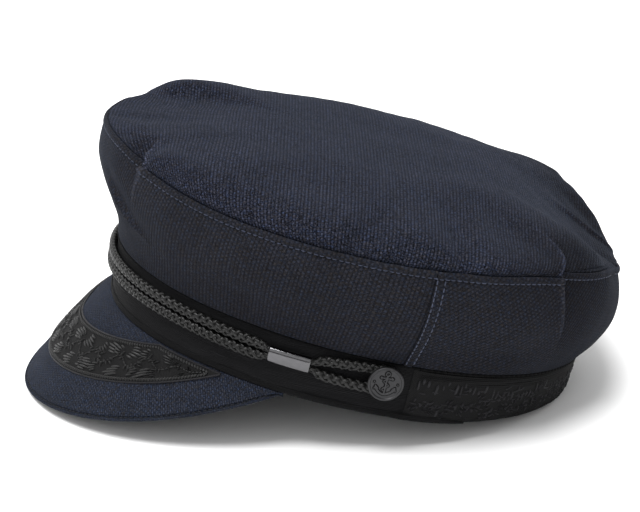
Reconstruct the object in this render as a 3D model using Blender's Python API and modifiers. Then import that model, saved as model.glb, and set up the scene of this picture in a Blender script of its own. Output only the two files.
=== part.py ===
"""A canvas sailor cap with a visor, a braided chin cord and two anchor buttons.

The cap is modelled upright, in its own frame: +Z up the crown, the front at -Y, the wearer's left at
+X, and the plane of the band's lower edge at Z = 0. Angles run round the head from 0 at the front to
180 at the back. The parts are parented to one empty, which leans the cap back until the visor's rim
and the back of the band both lie on the surface, as the cap rests by itself. The world's origin is in
the middle of that footprint, on the surface.
"""

import math

import bmesh
import bpy
from mathutils import Vector

# Driving dimensions, in metres and degrees.
GAP = 0.0003

BAND_HALF_WIDTH = 0.0833
BAND_FRONT = 0.1025
BAND_BACK = 0.1012
BAND_SQUARENESS = 2.1
BAND_FLARE = 2.5
BAND_WALL = 0.0024
BAND_EDGE = 0.0005

RIM_HALF_WIDTH = 0.0970
RIM_FRONT = 0.1175
RIM_BACK = 0.1090
RIM_FRONT_SQUARENESS = 2.0
RIM_BACK_SQUARENESS = 2.2
CROWN_WALL = 0.0018
TOP_CENTRE_HEIGHT = 0.0680
TOP_CENTRE_PUFF = 0.0175
TOP_SQUARENESS = 3.0
RIGHT_LOBE_SHORTER = 6.0
HEM_OVERHANG = 0.0008
SIDE_SEAM_ANGLE = 99.3
SEAM_GAP = 0.0004

VISOR_END_ANGLE = 77.0
VISOR_LENGTH = 0.0585
VISOR_OUTLINE_POWER = 1.68
VISOR_ROOT_SLOPE = 54.0
VISOR_EDGE_SLOPE = 64.0
VISOR_END_STEEPER = 9.0
VISOR_BOARD = 0.0020
VISOR_RIM_RADIUS = 0.0008
VISOR_LEAST_REACH = 0.0012
EMBROIDERY_FROM_EDGE = 0.0182
EMBROIDERY_WIDTH = 0.0225
EMBROIDERY_TAPER = 0.6
EMBROIDERY_THICKNESS = 0.0008
EMBROIDERY_CLEAR = 0.0006

TRIM_START_ANGLE = 102.5
TRIM_THICKNESS = 0.0009
TRIM_MARGIN = 0.0008

BUTTON_ANGLE = 96.5
BUTTON_HEIGHT = 0.0150
BUTTON_RADIUS = 0.00725
BUTTON_THICKNESS = 0.0017
BUTTON_EDGE = 0.0005
SHANK_RADIUS = 0.0016

CORD_HALF_HEIGHT = 0.0022
CORD_HALF_THICKNESS = 0.0016
CORD_FRONT_SPACING = 0.0053
CORD_LOOP_RADIUS = 0.0043
CORD_LOOP_SPREAD = 18.0
CORD_SQUEEZED_RADIUS = 0.00125
CORD_SQUEEZED_SPACING = 0.0028
CORD_SQUEEZE_FADE = 3.0

SLIDE_ANGLE = 76.8
SLIDE_LENGTH = 0.0164
SLIDE_HEIGHT = 0.0066
SLIDE_DEPTH = 0.0039
SLIDE_WALL = 0.00035

BAND_PRESSED = 0.0009
VISOR_PRESSED = 0.0003

# Steps round the head. Folds add columns of their own, so that each keeps a sharp edge.
CROWN_STEP = 6.0
BAND_STEP = 5.0
VISOR_STEPS = 32
EMBROIDERY_STEPS = 30
CORD_SIDES = 8
SLIDE_STEPS = 5
SLIDE_ARC_STEPS = 7
BUTTON_STEPS = 32
SHARP_ANGLE = 40.0

# The rim seam, the same on both sides of the cap. Columns: angle in degrees, height of the seam above
# the band's lower edge in mm, and rise of the stuffed top above the seam's own level in mm.
RIM_ROWS = (
    (0.0, 74.0, 4.5),
    (10.0, 75.0, 4.2),
    (22.0, 74.6, 3.4),
    (30.0, 72.2, 7.6),
    (37.0, 70.9, 19.2),
    (45.0, 69.4, 19.3),
    (60.0, 67.6, 16.7),
    (90.0, 67.2, 15.5),
    (110.0, 68.6, 11.5),
    (125.0, 69.4, 8.0),
    (138.0, 68.3, 13.0),
    (150.0, 67.2, 11.0),
    (160.0, 64.6, 5.4),
    (170.0, 60.0, 5.4),
    (180.0, 57.0, 7.0),
)

# The band. Columns: angle in degrees, its visible height in mm, which is less at the back where the
# crown's hem droops over it, and how far its lower edge sags below its plane, in mm.
BAND_ROWS = (
    (0.0, 25.7, 0.0),
    (60.0, 24.2, 0.0),
    (85.0, 22.6, 1.2),
    (110.0, 21.1, 1.8),
    (132.0, 19.8, 0.8),
    (150.0, 18.6, 0.0),
    (180.0, 15.5, 0.0),
)

# The chin cord's middle, between its two strands. Columns: angle in degrees, height in mm.
CORD_ROWS = (
    (0.0, 16.8),
    (30.0, 17.3),
    (50.0, 17.1),
    (76.8, 15.2),
    (96.5, 15.0),
    (180.0, 15.0),
)

# The side panels. Columns: angle in degrees, and how far the cloth stands outside the straight line
# from band to rim, in mm, low down and high up.
BELLY_ROWS = (
    (0.0, -2.6, 6.6),
    (25.0, -1.0, 4.9),
    (60.0, 1.5, 3.5),
    (100.0, 2.5, 3.5),
    (130.0, 3.5, 3.5),
    (155.0, 5.0, 3.5),
    (180.0, 6.0, 3.5),
)

# Folds where one stretch of cloth tucks behind the next. Columns: angle in degrees, side the tucked
# cloth lies on (-1 towards the front, 1 towards the back), depth in mm, spread in degrees, share of
# the side panel that the fold runs down, and share of the top that it runs in.
FOLD_ROWS = (
    (35.0, -1, 3.2, 9.0, 0.55, 0.22),
    (128.5, 1, 5.0, 14.0, 0.95, 0.30),
)
FOLD_EDGE = 1.5

# How the crown's surface is eased: the belly's scale, the share of the top over which the rim's own
# level and puff fade out, and the part of the rise over which the wall turns from upright to level.
BELLY_SCALE = 1.6
TOP_FADE = 0.625
WALL_TURN = (0.5, 1.6)


def half_angle(angle):
    """The same place on one half of the cap, from 0 at the front to 180 at the back."""
    return abs((angle + 180.0) % 360.0 - 180.0)


def crown_angle(angle):
    """Place in the crown's tables. On the right the front lobe, and its fold, end nearer mid-front."""
    half = half_angle(angle)
    on_left = 0.0 <= angle % 360.0 <= 180.0
    if on_left or half >= 90.0:
        return half
    return half + RIGHT_LOBE_SHORTER * smooth(half / 30.0) * smooth((90.0 - half) / 55.0)


def table_value(rows, column, angle):
    """Smooth value of one column at an angle from 0 to 180, level at both ends."""
    last = len(rows) - 1
    lower = 0
    while lower < last - 1 and rows[lower + 1][0] <= angle:
        lower += 1
    upper = lower + 1
    span = rows[upper][0] - rows[lower][0]
    part = (angle - rows[lower][0]) / span
    rise = rows[upper][column] - rows[lower][column]
    slopes = []
    for row in (lower, upper):
        if row in (0, last):
            slopes.append(0.0)
        else:
            run = rows[row + 1][0] - rows[row - 1][0]
            slopes.append((rows[row + 1][column] - rows[row - 1][column]) / run * span)
    start, end = slopes
    curve = 3.0 * rise - 2.0 * start - end
    twist = start + end - 2.0 * rise
    return rows[lower][column] + part * (start + part * (curve + part * twist))


def smooth(value):
    """Eases a share from 0 to 1."""
    value = min(max(value, 0.0), 1.0)
    return value * value * (3.0 - 2.0 * value)


def blend(low, high, share):
    return low + (high - low) * share


def oval(angle, half_width, front, back, squareness):
    """Point of an oval in plan: a superellipse whose front and back halves differ in length."""
    sine = math.sin(math.radians(angle))
    cosine = math.cos(math.radians(angle))
    power = 2.0 / squareness
    across = math.copysign(abs(sine) ** power, sine)
    along = math.copysign(abs(cosine) ** power, cosine)
    return Vector((half_width * across, -(front if along > 0.0 else back) * along, 0.0))


def band_oval(angle):
    return oval(angle, BAND_HALF_WIDTH, BAND_FRONT, BAND_BACK, BAND_SQUARENESS)


def band_run(angle):
    """Change of the band's plan point over one degree, centred on the angle."""
    return band_oval(angle + 0.5) - band_oval(angle - 0.5)


def band_normal(angle):
    """Horizontal direction straight out of the band."""
    along = band_run(angle)
    return Vector((along.y, -along.x, 0.0)).normalized()


def band_degrees(length, angle):
    """Angle that a length along the band takes up."""
    return length / band_run(angle).length


def band_point(angle, outward=0.0, height=0.0):
    """Point at a distance outside the band's outer face, which flares a little upwards."""
    flare = max(height, 0.0) * math.tan(math.radians(BAND_FLARE))
    return band_oval(angle) + band_normal(angle) * (outward + flare) + Vector((0.0, 0.0, height))


def band_height(angle):
    return 0.001 * table_value(BAND_ROWS, 1, half_angle(angle))


def band_foot(angle):
    """Height of the band's lower edge, which sags a little at the sides."""
    return -0.001 * table_value(BAND_ROWS, 2, half_angle(angle))


def fold_inset(angle, down, inward):
    """How far the folds tuck the crown's cloth in, at a share down the panel or in over the top."""
    angle = crown_angle(angle)
    total = 0.0
    for fold_angle, side, depth, spread, runs_down, runs_in in FOLD_ROWS:
        past = (angle - fold_angle) * side
        if past <= 0.0:
            continue
        shape = smooth(past / FOLD_EDGE) * math.exp(-((past / spread) ** 2))
        fade = smooth(1.0 - down / runs_down) * smooth(1.0 - inward / runs_in)
        total += 0.001 * depth * shape * fade
    return total


def rim_point(angle):
    facing_front = math.cos(math.radians(angle)) > 0.0
    squareness = RIM_FRONT_SQUARENESS if facing_front else RIM_BACK_SQUARENESS
    point = oval(angle, RIM_HALF_WIDTH, RIM_FRONT, RIM_BACK, squareness)
    point.z = 0.001 * table_value(RIM_ROWS, 1, crown_angle(angle))
    return point


def crown_point(angle, rise):
    """Outer face of the crown: rise 0 at the band's top edge, 1 at the rim seam, 2 mid-top."""
    rim = rim_point(angle)
    outward = Vector((rim.x, rim.y, 0.0)).normalized()
    if rise <= 1.0:
        hem = band_point(angle, HEM_OVERHANG, band_height(angle) + GAP)
        low = 0.001 * table_value(BELLY_ROWS, 1, half_angle(angle))
        high = 0.001 * table_value(BELLY_ROWS, 2, half_angle(angle))
        belly = BELLY_SCALE * math.sin(math.pi * rise) * blend(low, high, rise)
        inset = fold_inset(angle, 1.0 - rise, 0.0)
        return hem.lerp(rim, rise) + outward * (belly - inset)
    turn = math.pi / 2.0 * (rise - 1.0) ** (TOP_SQUARENESS / 2.0)
    inward = 1.0 - max(math.cos(turn), 0.0) ** (2.0 / TOP_SQUARENESS)
    dome = math.sin(turn) ** (2.0 / TOP_SQUARENESS)
    point = Vector((rim.x, rim.y, 0.0)) * (1.0 - inward)
    point -= outward * fold_inset(angle, 0.0, inward)
    share = smooth(inward / TOP_FADE)
    level = blend(rim.z, TOP_CENTRE_HEIGHT, share)
    rim_puff = 0.001 * table_value(RIM_ROWS, 2, crown_angle(angle))
    puff = blend(rim_puff, TOP_CENTRE_PUFF, share)
    point.z = level + puff * dome
    return point


def seam_point(angle, side):
    """Point half the seam gap above the rim seam (side 1) or below it (side -1)."""
    return crown_point(angle, 1.0) + Vector((0.0, 0.0, side * SEAM_GAP / 2.0))


def crown_inward(angle, rise):
    """Direction of the crown's wall, which turns from level at the band to straight down mid-top."""
    rim = rim_point(angle)
    outward = Vector((rim.x, rim.y, 0.0)).normalized()
    start, end = WALL_TURN
    tilt = math.radians(90.0) * smooth((rise - start) / (end - start))
    return -(outward * math.cos(tilt) + Vector((0.0, 0.0, math.sin(tilt))))


def new_object(name, mesh, material):
    obj = bpy.data.objects.new(name, mesh)
    CAP.objects.link(obj)
    obj.parent = POSE
    mesh.materials.append(material)
    mesh.shade_smooth()
    mesh.set_sharp_from_angle(angle=math.radians(SHARP_ANGLE))
    return obj


def loft(name, sections, material, round_trip=False, tips=None):
    """Solid through sections, each a closed ring of points.

    A round trip joins the last section to the first. Otherwise each end is closed, by one face or,
    when tips are given, by a fan of faces that meet in the end's own tip.
    """
    bm = bmesh.new()
    rings = [[bm.verts.new(point) for point in section] for section in sections]
    count = len(rings[0])
    pairs = list(zip(rings, rings[1:]))
    if round_trip:
        pairs.append((rings[-1], rings[0]))
    for here, there in pairs:
        for index in range(count):
            after = (index + 1) % count
            bm.faces.new((here[index], here[after], there[after], there[index]))
    if tips:
        for ring, tip in zip((rings[0], rings[-1]), tips):
            middle = bm.verts.new(tip)
            for index in range(count):
                bm.faces.new((ring[index], ring[(index + 1) % count], middle))
    elif not round_trip:
        bm.faces.new(rings[0])
        bm.faces.new(rings[-1])
    bmesh.ops.recalc_face_normals(bm, faces=bm.faces)
    mesh = bpy.data.meshes.new(name)
    bm.to_mesh(mesh)
    bm.free()
    return new_object(name, mesh, material)


def crown_columns():
    """Angles of the crown's columns, the same in all its panels so that their edges match.

    They are even, with extra ones at both ends of each fold and of each side seam's gap. An even one
    that would crowd an extra one is left out.
    """
    half_gap = math.degrees(SEAM_GAP / 2.0 / RIM_HALF_WIDTH)
    extra = []
    for sign in (1.0, -1.0):
        extra += [sign * (SIDE_SEAM_ANGLE - half_gap), sign * (SIDE_SEAM_ANGLE + half_gap)]
        for fold_angle, side, *_ in FOLD_ROWS:
            shift = crown_angle(sign * fold_angle) - fold_angle
            near = fold_angle - shift
            extra += [sign * near, sign * (near + side * FOLD_EDGE)]
    extra = [place % 360.0 for place in extra]
    even = [CROWN_STEP * index for index in range(round(360.0 / CROWN_STEP))]
    apart = CROWN_STEP / 4.0
    clear = [angle for angle in even if min(abs(angle - place) for place in extra) > apart]
    return sorted(clear + extra)


def panel_section(angle, rises):
    """One upright cut through a side panel's wall: up the outer face and down the inner one."""
    outer = [crown_point(angle, rise) for rise in rises[:-1]] + [seam_point(angle, -1)]
    inner = [point + crown_inward(angle, rise) * CROWN_WALL for point, rise in zip(outer, rises)]
    return outer + inner[::-1]


def panel(name, first, last, material):
    """A side panel between two seams, short of its neighbours by the seam gap."""
    rises = (0.0, 0.14, 0.32, 0.5, 0.68, 0.84, 1.0)
    turns = crown_columns()
    round_twice = [angle - 360.0 for angle in turns] + turns
    angles = [angle for angle in round_twice if first < angle < last]
    return loft(name, [panel_section(angle, rises) for angle in angles], material)


def crown_top(material):
    """The top panel: its outer face from the middle to the seam, then its inner face back."""
    rises = (1.96, 1.90, 1.81, 1.71, 1.60, 1.48, 1.35, 1.22, 1.10, 1.0)
    outer = []
    inner = []
    for rise in rises:
        ring = []
        for angle in crown_columns():
            ring.append(seam_point(angle, 1) if rise == 1.0 else crown_point(angle, rise))
        outer.append(ring)
        walls = [crown_inward(angle, rise) * CROWN_WALL for angle in crown_columns()]
        inner.append([point + wall for point, wall in zip(ring, walls)])
    middle = crown_point(0.0, 2.0)
    tips = (middle, middle - Vector((0.0, 0.0, CROWN_WALL)))
    return loft("crown_top", outer + inner[::-1], material, tips=tips)


def rest_on_floor(point):
    """Presses a point that would be below the surface up to it."""
    level = floor_level(point.y)
    return Vector((point.x, point.y, max(point.z, level)))


def band(material):
    sections = []
    for index in range(round(360.0 / BAND_STEP)):
        angle = BAND_STEP * (index + 0.5)
        height = band_height(angle)
        foot = band_foot(angle)
        ring = [
            band_point(angle, -BAND_EDGE, foot),
            band_point(angle, 0.0, foot + BAND_EDGE),
            band_point(angle, 0.0, height),
            band_point(angle, -BAND_WALL, height),
            band_point(angle, -BAND_WALL, foot),
        ]
        sections.append([rest_on_floor(point) for point in ring])
    return loft("band", sections, material, round_trip=True)


def band_trim(material):
    first = TRIM_START_ANGLE
    last = 360.0 - TRIM_START_ANGLE
    count = round((last - first) / BAND_STEP)
    sections = []
    for index in range(count + 1):
        angle = first + (last - first) * index / count
        top = band_height(angle) - TRIM_MARGIN
        foot = band_foot(angle) + 2.0 * TRIM_MARGIN
        sections.append(
            [
                band_point(angle, GAP, foot),
                band_point(angle, GAP + TRIM_THICKNESS, foot),
                band_point(angle, GAP + TRIM_THICKNESS, top),
                band_point(angle, GAP, top),
            ]
        )
    return loft("band_trim", sections, material)


def visor_reach(share):
    """How far the visor stands out at a share of the way from its middle to its end."""
    return VISOR_LENGTH * max(1.0 - abs(share) ** VISOR_OUTLINE_POWER, 0.0)


def visor_point(share, distance, lift=0.0):
    """Point on the upper face, which curves downwards, at a distance down from the band."""
    angle = share * VISOR_END_ANGLE
    steeper = VISOR_END_STEEPER * share * share
    start = math.radians(VISOR_ROOT_SLOPE + steeper)
    turning = math.radians(VISOR_EDGE_SLOPE - VISOR_ROOT_SLOPE) / VISOR_LENGTH
    slope = start + turning * distance
    forward = (math.sin(slope) - math.sin(start)) / turning + lift * math.sin(slope)
    drop = (math.cos(start) - math.cos(slope)) / turning - lift * math.cos(slope)
    return band_point(angle, forward, 0.0) + Vector((0.0, 0.0, band_foot(angle) - GAP - drop))


def visor_section(share):
    """One cut down the board: its upper face, its rim, and its lower face back to the band."""
    reach = max(visor_reach(share), VISOR_LEAST_REACH)
    edge = min(VISOR_RIM_RADIUS, reach / 3.0)
    slope = math.radians(VISOR_ROOT_SLOPE + VISOR_END_STEEPER * share * share)
    parts = (0.0, 0.25, 0.5, 0.75, 1.0)
    upper = [visor_point(share, (reach - edge) * part) for part in parts]
    rim = [
        visor_point(share, reach, -edge),
        visor_point(share, reach, edge - VISOR_BOARD),
        visor_point(share, reach - edge, -VISOR_BOARD),
    ]
    lower = [visor_point(share, (reach - edge) * part, -VISOR_BOARD) for part in parts[-2:0:-1]]
    outward = band_normal(share * VISOR_END_ANGLE)
    lower.append(visor_point(share, 0.0) - outward * (VISOR_BOARD / math.sin(slope)))
    return upper + rim + lower


def visor(material):
    sections = []
    for index in range(VISOR_STEPS + 1):
        share = -1.0 + 2.0 * index / VISOR_STEPS
        sections.append([rest_on_floor(point) for point in visor_section(share)])
    return loft("visor", sections, material)


def visor_embroidery(material):
    """A crescent that follows the visor's edge and ends at the band on both sides."""
    least = (EMBROIDERY_FROM_EDGE + 2.0 * EMBROIDERY_CLEAR) / VISOR_LENGTH
    end = (1.0 - least) ** (1.0 / VISOR_OUTLINE_POWER)
    sections = []
    for index in range(EMBROIDERY_STEPS + 1):
        share = end * (-1.0 + 2.0 * index / EMBROIDERY_STEPS)
        reach = visor_reach(share)
        outer = reach - EMBROIDERY_FROM_EDGE
        width = EMBROIDERY_WIDTH * (1.0 - EMBROIDERY_TAPER * share * share)
        inner = max(outer - width, EMBROIDERY_CLEAR)
        middle = (outer + inner) / 2.0
        low = GAP
        high = GAP + EMBROIDERY_THICKNESS
        sections.append(
            [visor_point(share, place, low) for place in (inner, middle, outer)]
            + [visor_point(share, place, high) for place in (outer, middle, inner)]
        )
    return loft("visor_embroidery", sections, material)


def rest_pitch():
    """Lean of the cap when the visor's rim and the back of the band are both pressed on the surface."""
    lean = 0.0
    for point in visor_section(0.0):
        drop = BAND_PRESSED - point.z - VISOR_PRESSED
        lean = max(lean, math.atan2(drop, BAND_BACK - point.y))
    return lean


def floor_level(along):
    """Height of the surface, in the cap's own frame, at a place along the cap."""
    return BAND_PRESSED + (along - BAND_BACK) * math.tan(rest_pitch())


def squeeze(angle):
    """1 inside the slide, fading to 0 within a few millimetres of its ends."""
    half = band_degrees(SLIDE_LENGTH / 2.0, SLIDE_ANGLE)
    return smooth(1.0 - (abs(angle - SLIDE_ANGLE) - half) / CORD_SQUEEZE_FADE)


def cord_half_spacing(angle):
    """Half of the distance between the two strands, which draw together at the slide."""
    opening = smooth((angle - SLIDE_ANGLE) / CORD_LOOP_SPREAD)
    free = blend(CORD_FRONT_SPACING / 2.0, CORD_LOOP_RADIUS, opening)
    return blend(free, CORD_SQUEEZED_SPACING / 2.0, squeeze(angle))


def cord_middle(angle):
    return 0.001 * table_value(CORD_ROWS, 1, angle)


def cord_place(angle, height):
    """(centre, direction out of the band, half height, half thickness) of the cord at a place."""
    squeezed = squeeze(angle)
    half_height = blend(CORD_HALF_HEIGHT, CORD_SQUEEZED_RADIUS, squeezed)
    half_thickness = blend(CORD_HALF_THICKNESS, CORD_SQUEEZED_RADIUS, squeezed)
    outward = GAP + blend(CORD_HALF_THICKNESS, SLIDE_DEPTH / 2.0, squeezed)
    return (band_point(angle, outward, height), band_normal(angle), half_height, half_thickness)


def cord_route():
    """One side of the loop, from mid-front along the lower strand, round the button, and back."""
    half = band_degrees(SLIDE_LENGTH / 2.0, SLIDE_ANGLE)
    angles = [0.0, 8.0, 16.0, 24.0, 32.0, 40.0, 48.0, 56.0, 63.0, 67.0, 69.4]
    angles += [SLIDE_ANGLE + half * share for share in (-1.0, -0.5, 0.0, 0.5, 1.0)]
    angles += [84.0, 86.0, 89.0, 92.5]
    lower = [cord_place(angle, cord_middle(angle) - cord_half_spacing(angle)) for angle in angles]
    upper = [cord_place(angle, cord_middle(angle) + cord_half_spacing(angle)) for angle in angles]
    turn = []
    for degrees in range(-90, 91, 30):
        swing = math.radians(degrees)
        ahead = band_degrees(CORD_LOOP_RADIUS * math.cos(swing), BUTTON_ANGLE)
        height = BUTTON_HEIGHT + CORD_LOOP_RADIUS * math.sin(swing)
        turn.append(cord_place(BUTTON_ANGLE + ahead, height))
    return lower + turn + upper[::-1]


def chin_cord(material):
    """The closed loop: the left side's route, then its mirror image back along the right side."""
    left = cord_route()
    mirror = Vector((-1.0, 1.0, 1.0))
    right = []
    for point, outward, half_height, half_thickness in left[-2:0:-1]:
        right.append((point * mirror, outward * mirror, half_height, half_thickness))
    places = left + right
    sections = []
    for index, (point, outward, half_height, half_thickness) in enumerate(places):
        along = places[(index + 1) % len(places)][0] - places[index - 1][0]
        wide = along.cross(outward).normalized()
        ring = []
        for corner in range(CORD_SIDES):
            turn = 2.0 * math.pi * (corner + 0.5) / CORD_SIDES
            across = wide * (half_height * math.cos(turn))
            ring.append(point + across + outward * (half_thickness * math.sin(turn)))
        sections.append(ring)
    return loft("chin_cord", sections, material, round_trip=True)


def stadium(height, depth):
    """Outline of a flattened tube, as (up, out) pairs."""
    radius = depth / 2.0
    straight = height / 2.0 - radius
    outline = []
    for index in range(2 * SLIDE_ARC_STEPS):
        turn = math.pi * (index + 0.5) / SLIDE_ARC_STEPS
        lift = straight if index < SLIDE_ARC_STEPS else -straight
        outline.append((radius * math.sin(turn) + lift, radius * math.cos(turn)))
    return outline


def cord_slide(name, side, material):
    """A flattened tube round both strands, bent with the band: its outer wall, then its inner."""
    half = band_degrees(SLIDE_LENGTH / 2.0, SLIDE_ANGLE)
    outward = GAP + SLIDE_DEPTH / 2.0
    walls = []
    for wall in (0.0, SLIDE_WALL):
        outline = stadium(SLIDE_HEIGHT - 2.0 * wall, SLIDE_DEPTH - 2.0 * wall)
        rings = []
        for index in range(SLIDE_STEPS + 1):
            angle = SLIDE_ANGLE + half * (-1.0 + 2.0 * index / SLIDE_STEPS)
            ring = [band_point(angle, outward + out, cord_middle(angle) + up) for up, out in outline]
            rings.append([point * Vector((side, 1.0, 1.0)) for point in ring])
        walls.append(rings)
    return loft(name, walls[0] + walls[1][::-1], material, round_trip=True)


def button(name, side, material):
    """A turned button: a shank that stands on the band, and a flat disc over the cord's loop."""
    back = GAP + 2.0 * CORD_HALF_THICKNESS + 2.0 * GAP
    front = back + BUTTON_THICKNESS
    profile = (
        (0.0, front),
        (BUTTON_RADIUS - BUTTON_EDGE, front),
        (BUTTON_RADIUS, front - BUTTON_EDGE),
        (BUTTON_RADIUS, back + BUTTON_EDGE),
        (BUTTON_RADIUS - BUTTON_EDGE, back),
        (SHANK_RADIUS, back),
        (SHANK_RADIUS, GAP),
        (0.0, GAP),
    )
    mesh = bpy.data.meshes.new(name)
    points = [(radius, 0.0, height) for radius, height in profile]
    edges = [(index, index + 1) for index in range(len(points) - 1)]
    mesh.from_pydata(points, edges, [])
    obj = new_object(name, mesh, material)
    screw = obj.modifiers.new("turn", "SCREW")
    screw.steps = BUTTON_STEPS
    screw.render_steps = BUTTON_STEPS
    screw.use_merge_vertices = True
    screw.merge_threshold = 0.00001
    screw.use_smooth_shade = True
    outward = band_normal(BUTTON_ANGLE)
    outward.x *= side
    obj.location = band_point(BUTTON_ANGLE, 0.0, BUTTON_HEIGHT)
    obj.location.x *= side
    obj.rotation_mode = "QUATERNION"
    obj.rotation_quaternion = outward.to_track_quat("Z", "Y")
    return obj


def new_material(name, colour, roughness, metallic=0.0):
    made = bpy.data.materials.new(name)
    made.use_nodes = True
    shader = made.node_tree.nodes["Principled BSDF"]
    shader.inputs["Base Color"].default_value = (*colour, 1.0)
    shader.inputs["Roughness"].default_value = roughness
    shader.inputs["Metallic"].default_value = metallic
    return made


def clear_scene():
    for obj in list(bpy.data.objects):
        bpy.data.objects.remove(obj, do_unlink=True)


def lean_and_centre():
    """Leans the cap to its resting pose and brings the middle of its footprint to the origin."""
    pitch = rest_pitch()
    POSE.rotation_euler = (-pitch, 0.0, 0.0)
    bpy.context.view_layer.update()
    graph = bpy.context.evaluated_depsgraph_get()
    along = []
    for obj in CAP.objects:
        if obj.type == "MESH":
            evaluated = obj.evaluated_get(graph)
            along += [(evaluated.matrix_world @ vertex.co).y for vertex in evaluated.data.vertices]
    floor = floor_level(0.0) * math.cos(pitch)
    POSE.location = (0.0, -(min(along) + max(along)) / 2.0, -floor)


clear_scene()
CAP = bpy.data.collections.new("sailor_cap")
bpy.context.scene.collection.children.link(CAP)
POSE = bpy.data.objects.new("resting_pose", None)
CAP.objects.link(POSE)

NAVY = new_material("navy_canvas", (0.020, 0.024, 0.036), 0.85)
BLACK = new_material("black_band", (0.012, 0.012, 0.013), 0.75)
LACE = new_material("black_embroidery", (0.016, 0.016, 0.017), 0.65)
CORD = new_material("black_cord", (0.018, 0.017, 0.016), 0.45)
STEEL = new_material("satin_metal", (0.60, 0.60, 0.63), 0.30, 1.0)
GUNMETAL = new_material("dark_button_metal", (0.12, 0.12, 0.125), 0.50, 0.8)

crown_top(NAVY)
panel("panel_front", -SIDE_SEAM_ANGLE, SIDE_SEAM_ANGLE, NAVY)
panel("panel_back", SIDE_SEAM_ANGLE, 360.0 - SIDE_SEAM_ANGLE, NAVY)
band(BLACK)
band_trim(LACE)
visor(NAVY)
visor_embroidery(LACE)
chin_cord(CORD)
for side, side_name in ((1.0, "left"), (-1.0, "right")):
    cord_slide("cord_slide_" + side_name, side, STEEL)
    button("button_" + side_name, side, GUNMETAL)
lean_and_centre()
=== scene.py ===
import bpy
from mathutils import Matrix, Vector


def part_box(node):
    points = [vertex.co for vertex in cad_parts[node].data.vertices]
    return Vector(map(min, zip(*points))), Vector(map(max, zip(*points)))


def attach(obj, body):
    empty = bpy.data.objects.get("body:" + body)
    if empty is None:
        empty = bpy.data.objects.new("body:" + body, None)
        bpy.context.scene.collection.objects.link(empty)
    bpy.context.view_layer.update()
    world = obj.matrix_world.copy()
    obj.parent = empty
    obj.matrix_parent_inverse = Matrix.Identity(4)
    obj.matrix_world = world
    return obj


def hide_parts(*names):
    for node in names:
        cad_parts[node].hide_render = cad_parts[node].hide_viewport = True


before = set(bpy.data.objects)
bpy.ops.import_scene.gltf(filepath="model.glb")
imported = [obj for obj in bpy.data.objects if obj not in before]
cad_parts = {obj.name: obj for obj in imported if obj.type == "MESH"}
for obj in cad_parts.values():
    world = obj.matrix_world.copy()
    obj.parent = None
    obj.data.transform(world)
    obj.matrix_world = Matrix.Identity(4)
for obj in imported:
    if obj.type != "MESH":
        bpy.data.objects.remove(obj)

"""Looks of a canvas sailor cap: sewn cloth, embroidery, braided cord, metal, floor, light and camera.

Everything is worked out in the cap's own frame, in metres: +Z up the crown, the front at -Y, the
wearer's left at +X, and the band's lower edge at Z = 0. Angles run round the head in degrees, from 0
at the front through 90 on the left to 180 at the back. Each piece is then leaned back with the cap.
"""

import math

import bpy
import numpy as np
from mathutils import Vector

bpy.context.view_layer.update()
MM = 0.001

# Sizes. They are the CAD model's own, apart from the top's edge (the puffs in RIM_ROWS, FAR_LOBE_*
# and PUFF_EVEN_*), the tips of the visor's embroidery (EMBROIDERY_TIP_NEARER), the cord's half
# height and front spacing, and the ribbon's margin, which are the look's own.
GAP = 0.0003
BAND_HALF_WIDTH, BAND_FRONT, BAND_BACK = 0.0833, 0.1025, 0.1012
BAND_SQUARENESS, BAND_FLARE, BAND_WALL = 2.1, 2.5, 0.0024
RIM_HALF_WIDTH, RIM_FRONT, RIM_BACK = 0.0970, 0.1175, 0.1090
RIM_FRONT_SQUARENESS, RIM_BACK_SQUARENESS = 2.0, 2.2
CROWN_WALL, HEM_OVERHANG, SIDE_SEAM_ANGLE = 0.0018, 0.0008, 99.3
TOP_CENTRE_HEIGHT, TOP_CENTRE_PUFF, TOP_SQUARENESS = 0.0680, 0.0175, 3.0
RIGHT_LOBE_SHORTER = 6.0
FAR_LOBE_ANGLE, FAR_LOBE_SPREAD, FAR_LOBE_LOWER = 11.0, 9.0, 0.0016
VISOR_END_ANGLE, VISOR_LENGTH, VISOR_OUTLINE_POWER = 77.0, 0.0585, 1.68
VISOR_ROOT_SLOPE, VISOR_EDGE_SLOPE, VISOR_END_STEEPER = 54.0, 64.0, 9.0
VISOR_BOARD, VISOR_RIM_RADIUS = 0.0020, 0.0008
EMBROIDERY_FROM_EDGE, EMBROIDERY_WIDTH = 0.0182, 0.0225
EMBROIDERY_TAPER, EMBROIDERY_CLEAR, EMBROIDERY_TIP_NEARER = 0.6, 0.0006, 0.13
TRIM_START_ANGLE, TRIM_MARGIN = 102.5, 0.0006
BUTTON_ANGLE, BUTTON_HEIGHT, BUTTON_RADIUS = 96.5, 0.0150, 0.00725
BUTTON_THICKNESS, SHANK_RADIUS = 0.0017, 0.0016
CORD_HALF_HEIGHT, CORD_HALF_THICKNESS = 0.00245, 0.0016
CORD_FRONT_SPACING, CORD_LOOP_RADIUS, CORD_LOOP_SPREAD = 0.0050, 0.0043, 18.0
CORD_SQUEEZED_RADIUS, CORD_SQUEEZED_SPACING, CORD_SQUEEZE_FADE = 0.00125, 0.0028, 3.0
SLIDE_ANGLE, SLIDE_LENGTH, SLIDE_HEIGHT, SLIDE_DEPTH = 76.8, 0.0164, 0.0066, 0.0039
SLIDE_WALL = 0.00035
BAND_PRESSED, VISOR_PRESSED = 0.0009, 0.0003
BELLY_SCALE, TOP_FADE, WALL_TURN = 1.6, 0.625, (0.5, 1.6)

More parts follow.
